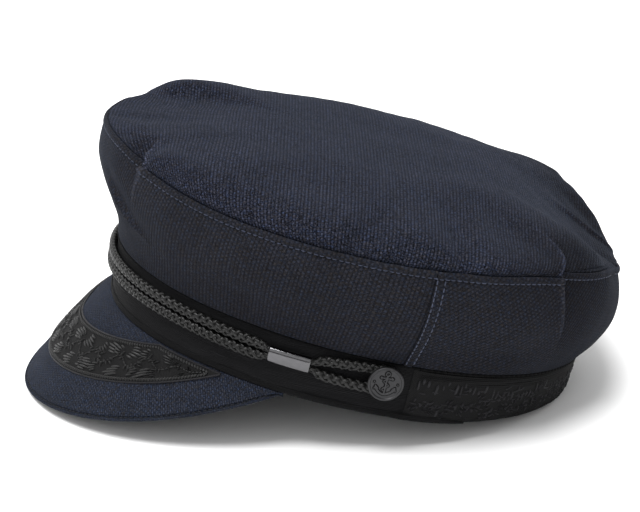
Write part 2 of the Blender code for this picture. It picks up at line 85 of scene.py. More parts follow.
# Columns: angle, height of the rim seam in mm, and puff of the stuffed top above it in mm.
RIM_ROWS = (
    (0, 74.0, 2.8), (10, 75.0, 2.4), (22, 74.6, 2.6), (30, 72.2, 7.4), (37, 70.9, 17.8),
    (45, 69.4, 19.4), (60, 67.6, 16.7), (90, 67.2, 15.5), (110, 68.6, 11.5), (125, 69.4, 8.0),
    (138, 68.3, 13.0), (150, 67.2, 11.0), (160, 64.6, 5.4), (170, 60.0, 5.4), (180, 57.0, 7.0),
)
PUFF_EVEN_TURNS, PUFF_EVEN_IN = (-16, -10, -5, 0, 5, 10, 16), 0.14
# Columns: angle, the band's visible height in mm, and its lower edge's sag in mm.
BAND_ROWS = (
    (0, 25.7, 0), (60, 24.2, 0), (85, 22.6, 1.2), (110, 21.1, 1.8), (132, 19.8, 0.8),
    (150, 18.6, 0), (180, 15.5, 0),
)
# Columns: angle, and height in mm of the middle between the cord's two strands.
CORD_ROWS = ((0, 16.8), (30, 17.3), (50, 17.1), (76.8, 15.2), (96.5, 15.0), (180, 15.0))
# Columns: angle, and the side panels' belly in mm, low down and high up.
BELLY_ROWS = (
    (0, -2.6, 6.6), (25, -1.0, 4.9), (60, 1.5, 3.5), (100, 2.5, 3.5), (130, 3.5, 3.5),
    (155, 5.0, 3.5), (180, 6.0, 3.5),
)

# The cloth's finer shape
# Folds, where one stretch of cloth tucks behind the next. Columns: angle at the seam; side that the
# tucked cloth lies on; depth in mm; spread in degrees; share of the panel that it runs down and of
# the top that it runs in; lean in degrees over the whole panel and over the whole top; height of its
# lit edge in mm; and how far that edge rolls over the tucked cloth in mm.
FOLD_ROWS = (
    (35.0, -1, 3.4, 9.0, 0.55, 0.12, -7.0, -22.0, 1.0, 1.7),
    (127.7, 1, 5.6, 15.0, 0.95, 0.20, 10.0, 17.0, 1.3, 1.9),
)
FOLD_EDGE, FOLD_ROLL_EDGE, FOLD_DRIFT_SPREAD = 0.8, 1.6, 16.0
FAR_FOLD_EDGE, FAR_FOLD_SHARE, FAR_FOLD_SHIFT, FAR_LEAN = 9.0, 0.20, 8.0, 2.0
WIDE_FOLD, TOP_FOLD_SPREAD, TOP_FOLD_PRESS = 10.0, 24.0, 0.85
# Painted light on the crown's cloth: painted shade towards the back, low on the panels and in the folds'
# tucks, and a painted highlight along the folds' edges.
BACK_START, BACK_SPREAD, BACK_PAINTED_SHADE, LOW_START, LOW_PAINTED_SHADE = 104.0, 34.0, 0.9, 0.55, 0.5
LINE_PAINTED_HIGHLIGHT, TUCKED_PAINTED_SHADE = 1.3, 0.4
RIDGE_SHARE, RIDGE_WIDTH, RIDGE_FOOT = 0.55, 0.9, 3.0

# Soft creases: each is a line of points (angle, rise, half-width in mm, height in mm), where the rise
# is 0 at the band, 1 at the rim seam and 2 mid-top, and a valley's height is below 0.
CREASES = (
    ((104, 1.02, 4, -0.8), (104.5, 1.22, 5, -2.4), (107, 1.60, 7, -2.0), (115, 1.84, 10, 0)),
    ((109, 1.05, 4, 0.3), (110, 1.30, 5.5, 1.1), (113, 1.62, 7.5, 0.9), (119, 1.80, 9, 0)),
    ((83, 1.06, 3.5, -0.6), (85, 1.36, 6.5, -2.0), (87, 1.60, 8, -1.4), (90, 1.76, 9, 0)),
    ((78, 1.08, 4, 0.2), (79.5, 1.34, 6, 1.0), (82, 1.60, 8, 0.5), (84, 1.76, 9, 0)),
    ((92, 1.03, 2.2, -0.8), (93, 1.22, 3.2, -0.9), (95, 1.45, 5, 0)),
    ((97.5, 1.03, 2.2, -0.8), (98, 1.20, 3, -0.8), (99, 1.40, 5, 0)),
    ((118, 1.03, 3, -0.4), (119, 1.22, 5, -0.6), (122, 1.45, 7, 0)),
    ((20, 1.28, 5, 0), (15, 1.48, 7, 1.0), (13, 1.66, 8, 0.6), (12, 1.80, 9, 0)),
    ((35.5, 1.08, 2, -0.8), (34, 1.22, 4, -2.6), (30, 1.38, 5.5, -2.6), (25, 1.52, 7, 0)),
    ((6, 1.25, 5, 0), (4, 1.45, 6, -0.9), (2, 1.65, 7, 0)),
    ((-24, 1.34, 4, 0), (-27, 1.50, 4, 1.2), (-34, 1.62, 6, 0)),
    ((180, 1.12, 1.8, 0), (181, 1.24, 1.8, 0.8), (184, 1.46, 2.2, 1.8), (190, 1.60, 3, 1.5),
     (193, 1.74, 6, 0)),
    ((150, 1.08, 5, -1.4), (158, 1.26, 8, -3.6), (168, 1.44, 8, -3.0), (178, 1.60, 7, 0)),
    ((184, 1.20, 5, 0), (191, 1.36, 6, -1.5), (198, 1.46, 6, -1.4), (205, 1.56, 5, 0)),
    ((19, 0.59, 1.1, 1.2), (24, 0.51, 1.1, 2.2), (28, 0.45, 1.2, 2.1), (32, 0.40, 1.6, 1.4),
     (38, 0.33, 2.4, 0)),
    ((19, 0.66, 3, -0.6), (25, 0.58, 3.2, -1.0), (31, 0.49, 3.4, -0.7), (37, 0.43, 4, 0)),
    ((-20, 0.62, 2, 0.5), (-26, 0.50, 2, 0.9), (-36, 0.40, 2.5, 0)),
    ((46, 0.22, 4, 0), (60, 0.30, 5, -0.6), (78, 0.26, 6, 0)),
    ((70, 0.50, 6, 0), (84, 0.40, 7, -0.8), (96, 0.46, 6, 0)),
    ((108, 0.30, 5, 0), (118, 0.24, 6, -0.7), (130, 0.28, 5, 0)),
    ((-62, 1.05, 4, -0.6), (-63, 1.30, 6, -1.0), (-66, 1.60, 9, 0)),
    ((-104, 1.04, 4, -0.6), (-106, 1.32, 7, -1.2), (-112, 1.66, 9, 0)),
)
SOFT_SIZE, SOFT_HEIGHT, FINE_SIZE, FINE_HEIGHT = 0.040, 0.00050, 0.013, 0.00014
PUCKER_PITCH, PUCKER_HEIGHT, PUCKER_REACH = 0.0105, 0.00020, 0.008
PUCKER_MIDDLE, PUCKER_SPREAD = 90.0, 34.0

# The turned-in edges of the panels, in metres from a seam.
ROLL, HEM_ROLL, SEAM_CLOSE = 0.0007, 0.0010, 0.00005
BEAD_HEIGHT, BEAD_MIDDLE, BEAD_HALF_WIDTH, SIDE_BEAD_SHARE = 0.00095, 0.0013, 0.0016, 0.55
SIDE_SEAM_DIP, SIDE_SEAM_DIP_WIDTH = 0.0005, 0.0008
STITCH_LINE, STITCH_GROOVE, STITCH_GROOVE_WIDTH = 0.0030, 0.00022, 0.0004
TOP_DIP, TOP_DIP_REACH = 0.0006, 0.0016
STITCH_PITCH, STITCH_LENGTH, STITCH_WIDTH, STITCH_HEIGHT = 0.00245, 0.00185, 0.00058, 0.00028
SEAM_STITCH_BACK, SEAM_STITCH_WIDTH, SEAM_STITCH_HEIGHT = 0.0026, 0.0005, 0.0002
STITCH_JITTER, FINE_STITCH_JITTER = 0.00008, 0.00005

# Small helpers


def smooth(value):
    """Eases a share from 0 to 1."""
    value = np.clip(value, 0, 1)
    return value * value * (3 - 2 * value)


def bell(value):
    """1 at zero, and next to nothing beyond two on either side."""
    return np.exp(-(value**2))


def rounded(distance, radius):
    """How far a rounded edge falls back, at a distance in from it."""
    turned = np.clip(1 - distance / radius, 0, 1)
    return radius * (1 - np.sqrt(1 - turned**2))


def powered(value, power):
    """A power that keeps the value's sign."""
    return np.sign(value) * np.abs(value) ** power


def blend(low, high, share):
    return low + (high - low) * share


def vectors(*parts):
    return np.stack(np.broadcast_arrays(*parts), axis=-1).astype(float)


def unit(vector):
    return vector / np.maximum(np.linalg.norm(vector, axis=-1, keepdims=True), 1e-12)


def scaled(vector, amount):
    """Vectors times one number each."""
    return vector * np.asarray(amount)[..., None]


def lengths(path):
    """Length along a path up to each of its points."""
    steps = np.linalg.norm(np.diff(path, axis=0), axis=-1)
    return np.concatenate((np.zeros_like(steps[:1]), np.cumsum(steps, axis=0)))


def at_places(places, known, points):
    """Points of a path at other places along it."""
    return np.stack([np.interp(places, known, points[:, axis]) for axis in range(3)], axis=-1)


def half_angle(angle):
    """The same place on one half of the cap, from 0 at the front to 180 at the back."""
    return np.abs((np.asarray(angle) + 180.0) % 360.0 - 180.0)


def side_of(angle):
    """1 on the wearer's left, -1 on the right."""
    return np.where(np.asarray(angle) % 360.0 <= 180.0, 1.0, -1.0)


def table_value(rows, column, angle):
    """Smooth value of one column at an angle from 0 to 180, level at both ends."""
    places, values = np.array(rows, float)[:, (0, column)].T
    slopes = np.zeros(len(rows))
    slopes[1:-1] = (values[2:] - values[:-2]) / (places[2:] - places[:-2])
    lower = np.clip(np.searchsorted(places, angle, side="right") - 1, 0, len(rows) - 2)
    span = places[lower + 1] - places[lower]
    part = (angle - places[lower]) / span
    rise = values[lower + 1] - values[lower]
    start, end = slopes[lower] * span, slopes[lower + 1] * span
    curve = 3 * rise - 2 * start - end
    return values[lower] + part * (start + part * (curve + part * (start + end - 2 * rise)))


def unevenness(points, size, seed):
    """Smooth random field of features of about one size, mostly between -1 and 1."""
    random = np.random.default_rng(seed)
    waves = 14
    total = np.zeros(points.shape[:-1])
    for _ in range(waves):
        direction = unit(random.normal(size=3))
        length = size * random.uniform(0.7, 1.5)
        total += np.sin(points @ direction * (math.tau / length) + random.uniform(0, math.tau))
    return total / math.sqrt(2 * waves)


# The cap's surfaces, as functions


def oval(angle, half_width, front, back, squareness):
    power = 2 / np.asarray(squareness)
    across = powered(np.sin(np.radians(angle)), power)
    along = powered(np.cos(np.radians(angle)), power)
    return vectors(half_width * across, -np.where(along > 0, front, back) * along, 0)


def band_oval(angle):
    return oval(angle, BAND_HALF_WIDTH, BAND_FRONT, BAND_BACK, BAND_SQUARENESS)


def band_run(angle):
    """Change of the band's plan point over one degree."""
    return band_oval(np.asarray(angle) + 0.5) - band_oval(np.asarray(angle) - 0.5)


def band_normal(angle):
    along = band_run(angle)
    return unit(vectors(along[..., 1], -along[..., 0], 0))


def band_degrees(length, angle):
    return length / np.linalg.norm(band_run(angle), axis=-1)


def band_length(angle):
    """Rough length round the band, for cloth coordinates."""
    return np.radians(angle) * (BAND_HALF_WIDTH + BAND_FRONT) / 2


def band_point(angle, outward, height):
    """Point at a distance outside the band's outer face, which flares a little upwards."""
    flare = np.maximum(height, 0) * math.tan(math.radians(BAND_FLARE))
    return band_oval(angle) + scaled(band_normal(angle), outward + flare) + vectors(0, 0, height)


def band_height(angle):
    return MM * table_value(BAND_ROWS, 1, half_angle(angle))


def band_foot(angle):
    return -MM * table_value(BAND_ROWS, 2, half_angle(angle))


def crown_angle(angle):
    """Place in the crown's tables. On the right the front lobe, and its fold, end nearer mid-front."""
    half = half_angle(angle)
    shift = RIGHT_LOBE_SHORTER * smooth(half / 30) * smooth((90 - half) / 55)
    return np.where((side_of(angle) > 0) | (half >= 90), half, half + shift)


def dome(up):
    """(share in from the rim, share of the dome's height) at a share of the way up to mid-top."""
    turn = math.pi / 2 * up ** (TOP_SQUARENESS / 2)
    inward = 1 - np.maximum(np.cos(turn), 0) ** (2 / TOP_SQUARENESS)
    return inward, np.sin(turn) ** (2 / TOP_SQUARENESS)


def crown_place(column, rise):
    """(place in the tables, share down the panel, share up the top, share in from the rim)."""
    up = np.maximum(rise - 1, 0)
    return crown_angle(column), np.maximum(1 - rise, 0), up, dome(up)[0]


def folds(column, rise):
    """What the folds do to the cloth of a column: inset and roll in metres, and drift in degrees.

    The column is named by its angle at the rim seam, so that a fold keeps to its own columns.
    """
    place, down, up, inward = crown_place(column, rise)
    near = side_of(column) > 0
    edge_width = np.where(near, FOLD_EDGE, FAR_FOLD_EDGE)
    inset = roll = drift = 0.0
    for angle, side, depth, spread, runs_down, runs_in, lean_down, lean_in, lit, rolled in FOLD_ROWS:
        own = near | (side < 0)
        angle = angle + np.where(own, 0, FAR_FOLD_SHIFT)
        past = (place - angle) * side
        fade = smooth(1 - down / runs_down) * smooth(1 - inward / runs_in)
        wide = blend(spread, max(spread, TOP_FOLD_SPREAD * (spread > WIDE_FOLD)), smooth(up / 0.1))
        tucked = smooth(past / edge_width) * bell(np.maximum(past, 0) / wide)
        ridge = RIDGE_SHARE * bell(past / RIDGE_WIDTH) + (1 - RIDGE_SHARE) * bell(past / RIDGE_FOOT)
        edge = np.where(past < 0, ridge, 1 - smooth(past / edge_width))
        inset = inset + MM * fade * np.where(near, 1, FAR_FOLD_SHARE) * (depth * tucked - lit * edge)
        over = np.where(past < 0, bell(past / FOLD_ROLL_EDGE), 1 - smooth(past / FOLD_EDGE))
        flatter = 1 - 0.7 * smooth(up / 0.12)
        roll = roll + MM * fade * rolled * side * np.where(near, over, 0) * flatter
        lean = lean_in * np.where(own, 1, FAR_LEAN) * 1.5 * up**2 * smooth(1 - inward / 0.6)
        drift = drift + bell((place - angle) / FOLD_DRIFT_SPREAD) * (lean_down * down + lean)
    return inset, roll, drift


def crown_painted_light(column, rise):
    """Painted light on the crown's cloth: above 0 a painted highlight along the folds' edges, below 0
    painted shade in the folds' tucks, towards the back and low on the panels.
    """
    place, down, _, inward = crown_place(column, rise)
    # Painted shade towards the back: full on the top, fading out near its middle, and weaker on the side
    # panels.
    painted_light_value = -BACK_PAINTED_SHADE * smooth((half_angle(column) - BACK_START) / BACK_SPREAD)
    painted_light_value = painted_light_value * smooth((1.90 - rise) / 0.5) * np.where(rise > 1, 1, 0.45)
    # Painted shade low on the side panels.
    painted_light_value = painted_light_value - LOW_PAINTED_SHADE * smooth((LOW_START - rise) / LOW_START)
    # Each fold: a painted highlight along its edge and painted shade in its tuck, weaker on the far
    # side.
    for angle, side, _, spread, runs_down, runs_in, *_ in FOLD_ROWS:
        past = (place - angle) * side
        fade = smooth(1 - down / runs_down) * smooth(1 - inward / (1.4 * runs_in))
        line = bell((past + 0.30) / 0.60)
        inside = smooth(past / FOLD_EDGE) * bell(np.maximum(past, 0) / spread)
        near = np.where(side_of(column) > 0, 1, 0.3)
        painted_light_value = painted_light_value + near * fade * (LINE_PAINTED_HIGHLIGHT * line - TUCKED_PAINTED_SHADE * inside)
    return painted_light_value


def rim_point(angle):
    squareness = np.where(np.cos(np.radians(angle)) > 0, RIM_FRONT_SQUARENESS, RIM_BACK_SQUARENESS)
    point = oval(angle, RIM_HALF_WIDTH, RIM_FRONT, RIM_BACK, squareness)
    half = half_angle(angle)
    lobe = bell((half - FAR_LOBE_ANGLE) / FAR_LOBE_SPREAD) * smooth(half / 6)
    lower = np.where(side_of(angle) < 0, FAR_LOBE_LOWER * lobe, 0)
    point[..., 2] = MM * table_value(RIM_ROWS, 1, crown_angle(angle)) - lower
    return point


def hem_point(angle):
    return band_point(angle, HEM_OVERHANG, band_height(angle) + GAP)


def level_outward(point):
    return unit(point * (1, 1, 0))


def edge_puff(angle, inward):
    """Puff near the rim. On the near side it evens out round the head as the cloth runs in."""
    own, *others = (
        table_value(RIM_ROWS, 2, crown_angle(angle + turn)) for turn in (0, *PUFF_EVEN_TURNS)
    )
    half = half_angle(angle)
    near = np.where(side_of(angle) > 0, smooth(half / 14) * smooth((100 - half) / 30), 0)
    return MM * blend(own, np.mean(others, axis=0), near * smooth(inward / PUFF_EVEN_IN))


def crown_base(angle, rise, inset):
    """Outer face of the crown before its fine relief, moved inwards by the folds' inset."""
    rim, hem = rim_point(angle), hem_point(angle)
    outward = level_outward(rim)
    low, high = (MM * table_value(BELLY_ROWS, column, half_angle(angle)) for column in (1, 2))
    share = np.clip(rise, 0, 1)
    belly = BELLY_SCALE * np.sin(math.pi * share) * blend(low, high, share)
    wall = hem + scaled(rim - hem, share) + scaled(outward, belly - inset)
    up = np.clip(rise - 1, 0, 1)
    inward, domed = dome(up)
    press = TOP_FOLD_PRESS * smooth(up / 0.3)
    top = scaled(rim * (1, 1, 0), 1 - inward) - scaled(outward, inset * np.sqrt(1 - press * press))
    fade = smooth(inward / TOP_FADE)
    puff = blend(edge_puff(angle, inward), TOP_CENTRE_PUFF, fade)
    top[..., 2] = blend(rim[..., 2], TOP_CENTRE_HEIGHT, fade) + puff * domed - inset * press
    return np.where((np.asarray(rise) > 1)[..., None], top, wall)


def crown_normal(angle, rise):
    """Direction out of the crown's face, the folds left out."""
    step, on_top = 0.004, np.asarray(rise) > 1
    low = np.maximum(rise - step, np.where(on_top, 1.0001, 0))
    high = np.minimum(rise + step, np.where(on_top, 1.999, 1))
    up = crown_base(angle, high, 0.0) - crown_base(angle, low, 0.0)
    round_head = crown_base(angle + 0.2, rise, 0.0) - crown_base(angle - 0.2, rise, 0.0)
    return unit(np.cross(round_head, up))


def crease_relief(points):
    """Sum of the soft creases at points of the crown, in metres."""
    flat = points.reshape(-1, 3)
    total = np.zeros(len(flat))
    for crease in CREASES:
        knots = np.array(crease, float)
        path = np.linspace(0, len(knots) - 1, 7 * (len(knots) - 1) + 1)
        angle, rise, width, height = (np.interp(path, np.arange(len(knots)), row) for row in knots.T)
        line = crown_base(angle, rise, 0.0)
        reach = 3 * MM * width.max()
        near = ((flat > line.min(0) - reach) & (flat < line.max(0) + reach)).all(1)
        here = flat[near]
        best, value = np.full(len(here), 1e9), np.zeros(len(here))
        for start in range(len(line) - 1):
            along = line[start + 1] - line[start]
            part = np.clip((here - line[start]) @ along / (along @ along), 0, 1)
            away = np.linalg.norm(here - line[start] - part[:, None] * along, axis=1)
            wide = MM * blend(width[start], width[start + 1], part)
            lift = MM * blend(height[start], height[start + 1], part)
            value = np.where(away < best, lift * bell(away / wide), value)
            best = np.minimum(best, away)
        total[near] += value
    return total.reshape(points.shape[:-1])


def soft_relief(points, seed):
    soft = SOFT_HEIGHT * unevenness(points, SOFT_SIZE, seed)
    return soft + FINE_HEIGHT * unevenness(points, FINE_SIZE, seed + 2)


def edge_profile(distance, share=1.0):
    """Height of a turned-in, top-stitched edge at a distance from its seam."""
    part = (distance - BEAD_MIDDLE) / BEAD_HALF_WIDTH
    strip = share * BEAD_HEIGHT * np.sqrt(np.maximum(1 - part * part, 0))
    groove = STITCH_GROOVE * bell((distance - STITCH_LINE) / STITCH_GROOVE_WIDTH)
    return strip - groove - rounded(distance, ROLL)


def panel_run(angle):
    """Length of a side panel from its hem to the rim seam."""
    return np.linalg.norm(rim_point(angle) - hem_point(angle), axis=-1)


def panel_relief(column, angle, rise, base):
    run = panel_run(angle)
    below_seam, above_hem = (1 - rise) * run, rise * run
    behind = (half_angle(column) - SIDE_SEAM_ANGLE) * math.radians(1) * RIM_HALF_WIDTH
    on_back = edge_profile(np.maximum(behind, 0), SIDE_BEAD_SHARE)
    on_front = -SIDE_SEAM_DIP * bell(behind / SIDE_SEAM_DIP_WIDTH)
    edges = edge_profile(below_seam) + np.where(behind > 0, on_back, on_front)
    calm = smooth(above_hem / 0.006) * smooth((below_seam - 0.002) / 0.005)
    return edges - rounded(above_hem, HEM_ROLL) + crease_relief(base) + calm * soft_relief(base, 3)


def top_relief(angle, rise, base):
    rim = rim_point(angle)
    above = np.linalg.norm(base - rim, axis=-1)
    dip = TOP_DIP * np.clip(1 - above / TOP_DIP_REACH, 0, 1) ** 1.5
    round_rim = np.radians(angle) * (RIM_HALF_WIDTH + RIM_FRONT) / 2
    ripple = np.sin(math.tau * round_rim / PUCKER_PITCH + 2.2 * unevenness(rim, 0.03, 11))
    strength = 0.45 + bell((half_angle(angle) - PUCKER_MIDDLE) / PUCKER_SPREAD)
    reach = bell(above / PUCKER_REACH) * smooth(above / 0.002)
    relief = PUCKER_HEIGHT * strength * ripple * reach - dip + crease_relief(base)
    relief += smooth(above / 0.012) * soft_relief(base, 7)
    return relief * smooth((1.999 - rise) / 0.05)


def drifted(column, rise):
    """(column, rise, angle, inset, roll) of places on the crown, the angle after the folds' drift."""
    column, rise = np.broadcast_arrays(np.asarray(column, float), np.asarray(rise, float))
    inset, roll, drift = folds(column, rise)
    return column, rise, column + side_of(column) * drift, inset, roll


def crown_cloth(column, rise):
    """(points, normals) of the finished outer face of the crown."""
    column, rise, angle, inset, roll = drifted(column, rise)
    plain = crown_base(angle, rise, 0.0)
    normal = crown_normal(angle, rise)
    round_head = unit(np.cross((0, 0, 1), level_outward(plain)))
    on_panel = panel_relief(column, angle, rise, plain)
    relief = np.where(rise > 1, top_relief(angle, rise, plain), on_panel)
    points = crown_base(angle, rise, inset) + scaled(normal, relief)
    return points + scaled(round_head, side_of(column) * roll), normal


def crown_lining(column, rise):
    """Inner face of the crown's cloth."""
    _, rise, angle, inset, _ = drifted(column, rise)
    start, end = WALL_TURN
    tilt = math.pi / 2 * smooth((rise - start) / (end - start))
    outward = scaled(level_outward(rim_point(angle)), np.cos(tilt)) + vectors(0, 0, np.sin(tilt))
    return crown_base(angle, rise, inset) - outward * CROWN_WALL


def visor_reach(share):
    return VISOR_LENGTH * np.maximum(1 - np.abs(share) ** VISOR_OUTLINE_POWER, 0)


def visor_slope(share):
    """The visor's slope at the band."""
    return np.radians(VISOR_ROOT_SLOPE + VISOR_END_STEEPER * share * share)


def visor_point(share, distance, lift):
    """Point of the visor at a distance down from the band and a height above its upper face."""
    share, distance, lift = np.broadcast_arrays(share, distance, lift)
    angle, start = share * VISOR_END_ANGLE, visor_slope(share)
    turning = math.radians(VISOR_EDGE_SLOPE - VISOR_ROOT_SLOPE) / VISOR_LENGTH
    slope = start + turning * distance
    forward = (np.sin(slope) - np.sin(start)) / turning + lift * np.sin(slope)
    drop = (np.cos(start) - np.cos(slope)) / turning - lift * np.cos(slope)
    return band_point(angle, forward, 0.0) + vectors(0, 0, band_foot(angle) - GAP - drop)


# Where the cap stands


def visor_rim_cut():
    """The CAD visor's three rim points at its middle."""
    distance = VISOR_LENGTH - np.array((0, 0, VISOR_RIM_RADIUS))
    lift = np.array((-VISOR_RIM_RADIUS, VISOR_RIM_RADIUS - VISOR_BOARD, -VISOR_BOARD))
    return visor_point(0.0, distance, lift)


def rest_pitch():
    """Lean of the cap when the visor's rim and the back of the band both rest on the surface."""
    cut = visor_rim_cut()
    drop = BAND_PRESSED - cut[:, 2] - VISOR_PRESSED
    return float(np.arctan2(drop, BAND_BACK - cut[:, 1]).max())


PITCH = rest_pitch()
COSINE, SINE = math.cos(PITCH), math.sin(PITCH)
LEAN = np.array(((1, 0, 0), (0, COSINE, SINE), (0, -SINE, COSINE)))
FLOOR_AT_MIDDLE = BAND_PRESSED - BAND_BACK * math.tan(PITCH)


def rest_location():
    """Where the cap's own origin lies: its height from the floor, its place from the visor's box."""
    cut = visor_rim_cut()
    level = BAND_PRESSED + (cut[:, 1] - BAND_BACK) * math.tan(PITCH)
    cut[:, 2] = np.maximum(cut[:, 2], level)
    foremost = (cut @ LEAN.T)[:, 1].min()
    return np.array((0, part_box("visor")[0].y - foremost, -FLOOR_AT_MIDDLE * COSINE))


LOCATION = rest_location()


def to_world(points):
    """Points of the cap's own frame where they rest, none of them below the surface."""
    world = points @ LEAN.T + LOCATION
    world[..., 2] = np.maximum(world[..., 2], 0.00002)
    return world


# Meshes


def add_object(name, data):
    made = bpy.data.objects.new(name, data)
    bpy.context.scene.collection.objects.link(made)
    return made


def signed_volume(points, faces):
    total = 0.0
    for some in faces:
        first, *others = (points[corner] for corner in some.T)
        for one, next_one in zip(others, others[1:]):
            total += float(np.einsum("ij,ij->", first, np.cross(one, next_one)))
    return total


def walls(below, above):
    """Faces between rings of point numbers."""
    corners = (below, np.roll(below, -1, -1), np.roll(above, -1, -1), above)
    return np.stack(corners, axis=-1).reshape(-1, 4)


class Build:
    """Collects points, faces and the cloth's own coordinates, and makes one mesh of them."""

    def __init__(self):
        self.points, self.weave, self.faces, self.groups, self.count = [], [], [], [], 0

    def add(self, points, weave, faces, group):
        self.points.append(points)
        self.weave.append(np.pad(weave, ((0, 0), (0, 3 - weave.shape[1]))))
        self.faces += [some + self.count for some in faces]
        self.groups += [np.full(len(some), group) for some in faces]
        self.count += len(points)

    def grid(self, points, weave, closed=False, tips=None, group=0):
        """Rows of rings. The first and last are joined, or closed by lids or by a pair of tips."""
        rows, columns = points.shape[:2]
        index = np.arange(rows * columns).reshape(rows, columns)
        points, weave = points.reshape(-1, 3), weave.reshape(rows * columns, -1)
        if closed:
            faces = [walls(index, np.roll(index, -1, 0))]
        else:
            faces = [walls(index[:-1], index[1:])]
        if tips is not None:
            points = np.concatenate((points, tips))
            weave = np.pad(weave, ((0, 2), (0, 0)))
            for ring, tip, turn in ((index[0], index.size, -1), (index[-1], index.size + 1, 1)):
                faces.append(vectors(ring, np.roll(ring, -1), tip).astype(int)[:, ::turn])
        elif not closed:
            faces += [index[0][::-1][None], index[-1][None]]
        self.add(points, weave, faces, group)

    def finish(self, name, materials, slot, *nodes, sharp=50.0):
        """The finished piece, leaned back with the cap, which stands for those CAD nodes."""
        points = to_world(np.concatenate(self.points))
        sizes = np.concatenate([np.full(len(some), some.shape[1]) for some in self.faces])
        loops = np.concatenate([some.reshape(-1) for some in self.faces])
        starts = np.concatenate(((0,), np.cumsum(sizes)[:-1]))
        mesh = bpy.data.meshes.new(name)
        mesh.vertices.add(len(points))
        mesh.vertices.foreach_set("co", points.astype(np.float32).ravel())
        mesh.loops.add(len(loops))
        mesh.loops.foreach_set("vertex_index", loops.astype(np.int32))
        mesh.polygons.add(len(sizes))
        mesh.polygons.foreach_set("loop_start", starts.astype(np.int32))
        mesh.polygons.foreach_set("material_index", np.concatenate(self.groups).astype(np.int32))
        mesh.update(calc_edges=True)
        mesh.validate()
        weave = mesh.attributes.new("weave", "FLOAT_VECTOR", "POINT")
        weave.data.foreach_set("vector", np.concatenate(self.weave).astype(np.float32).ravel())
        if signed_volume(points, self.faces) < 0:
            mesh.flip_normals()
        for material in materials:
            mesh.materials.append(material)
        mesh.shade_smooth()
        mesh.set_sharp_from_angle(angle=math.radians(sharp))
        made = add_object(name, mesh)
        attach(made, "root")
        if nodes:
            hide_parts(*nodes)


def shell(name, material, slot, node, rings, weave, sharp=50.0, closed=False, tips=None):
    """A piece made of one grid."""
    build = Build()
    build.grid(rings, weave, closed, tips)
    build.finish(name, [material], slot, node, sharp=sharp)


STITCH_SIDES, STITCH_ARCH, STITCH_LIFT = 6, 0.6, 0.00005
STITCH_STATIONS = np.array((0, 0.10, 0.30, 0.70, 0.90, 1))
STITCH_TAPER = np.array((0.30, 0.78, 1, 1, 0.78, 0.30))[:, None]


def around(sides):
    return math.tau * (np.arange(sides) + 0.5) / sides


def stitches(build, start, end, normal, width, height):
    """Short raised threads from start to end, each a tapered capsule that stands on the cloth."""
    count, turn, station = len(start), around(STITCH_SIDES), STITCH_STATIONS[:, None]
    across = unit(np.cross(normal, unit(end - start)))
    width, height = (np.broadcast_to(size, (count,))[:, None, None] for size in (width, height))
    spine = start[:, None] + (end - start)[:, None] * station
    lift = height * (STITCH_ARCH * np.sin(math.pi * station) + STITCH_TAPER * np.sin(turn))
    wide = width / 2 * STITCH_TAPER * np.cos(turn)
    points = spine[:, :, None] + scaled(across[:, None, None], wide)
    points = points + scaled(normal[:, None, None], lift)
    index = np.arange(points[..., 0].size).reshape(points.shape[:-1])
    lids = np.stack((index[:, 0, ::-1], index[:, -1]), axis=1).reshape(-1, STITCH_SIDES)
    length = np.linalg.norm(end - start, axis=1)[:, None, None]
    number = np.arange(count)[:, None, None]
    weave = vectors(length * station + 0.013 * number, 0.0004 * turn, number * 0.37)
    faces = [walls(index[:, :-1], index[:, 1:]), lids]
    build.add(points.reshape(-1, 3), weave.reshape(-1, 3), faces, 0)


def tube(build, path, normal, radius, thickness, sides=8, closed=False, group=0):
    """A thread along a path, with a half-width across the surface and a half-thickness off it."""
    along = np.roll(path, -1, 0) - np.roll(path, 1, 0) if closed else np.gradient(path, axis=0)
    across = unit(np.cross(normal, unit(along)))
    turn = around(sides)
    wide = np.broadcast_to(radius, (len(path),))[:, None] * np.cos(turn)
    high = np.broadcast_to(thickness, (len(path),))[:, None] * np.sin(turn)
    points = path[:, None] + scaled(across[:, None], wide) + scaled(normal[:, None], high)
    build.grid(points, vectors(lengths(path)[:, None], 0.002 * turn), closed, group=group)


# Materials


class Value:
    """A node's output. Sums and products of values make Math nodes."""

    def __init__(self, tree, socket):
        self.tree, self.socket = tree, socket

    def math(self, operation, *others):
        return self.tree.node("Math", (self, *others), operation=operation)[0]

    def __add__(self, other):
        return self.math("ADD", other)

    def __mul__(self, other):
        return self.math("MULTIPLY", other)

    def wave(self, length):
        return (self * (math.tau / length)).math("SINE")

    def range(self, from_low, from_high, to_low, to_high):
        return self.tree.node("MapRange", (self, from_low, from_high, to_low, to_high))[0]


class Tree:
    """A node tree, with short calls for its nodes."""

    def __init__(self, owner, last):
        owner.use_nodes = True
        self.tree = owner.node_tree
        self.last = self.tree.nodes[last]

    def put(self, socket, value):
        if isinstance(value, Value):
            self.tree.links.new(value.socket, socket)
        elif isinstance(value, tuple) and socket.type == "RGBA":
            socket.default_value = (*value, 1.0)
        else:
            socket.default_value = value

    def set(self, **values):
        for name, value in values.items():
            self.put(self.last.inputs[name.replace("_", " ")], value)

    def node(self, kind, inputs, **settings):
        """The outputs of a new node. Inputs are given in order, or by name or number."""
        node = self.tree.nodes.new("ShaderNode" + kind)
        for name, value in settings.items():
            setattr(node, name, value)
        for key, value in inputs.items() if isinstance(inputs, dict) else enumerate(inputs):
            self.put(node.inputs[key], value)
        return [Value(self, socket) for socket in node.outputs]


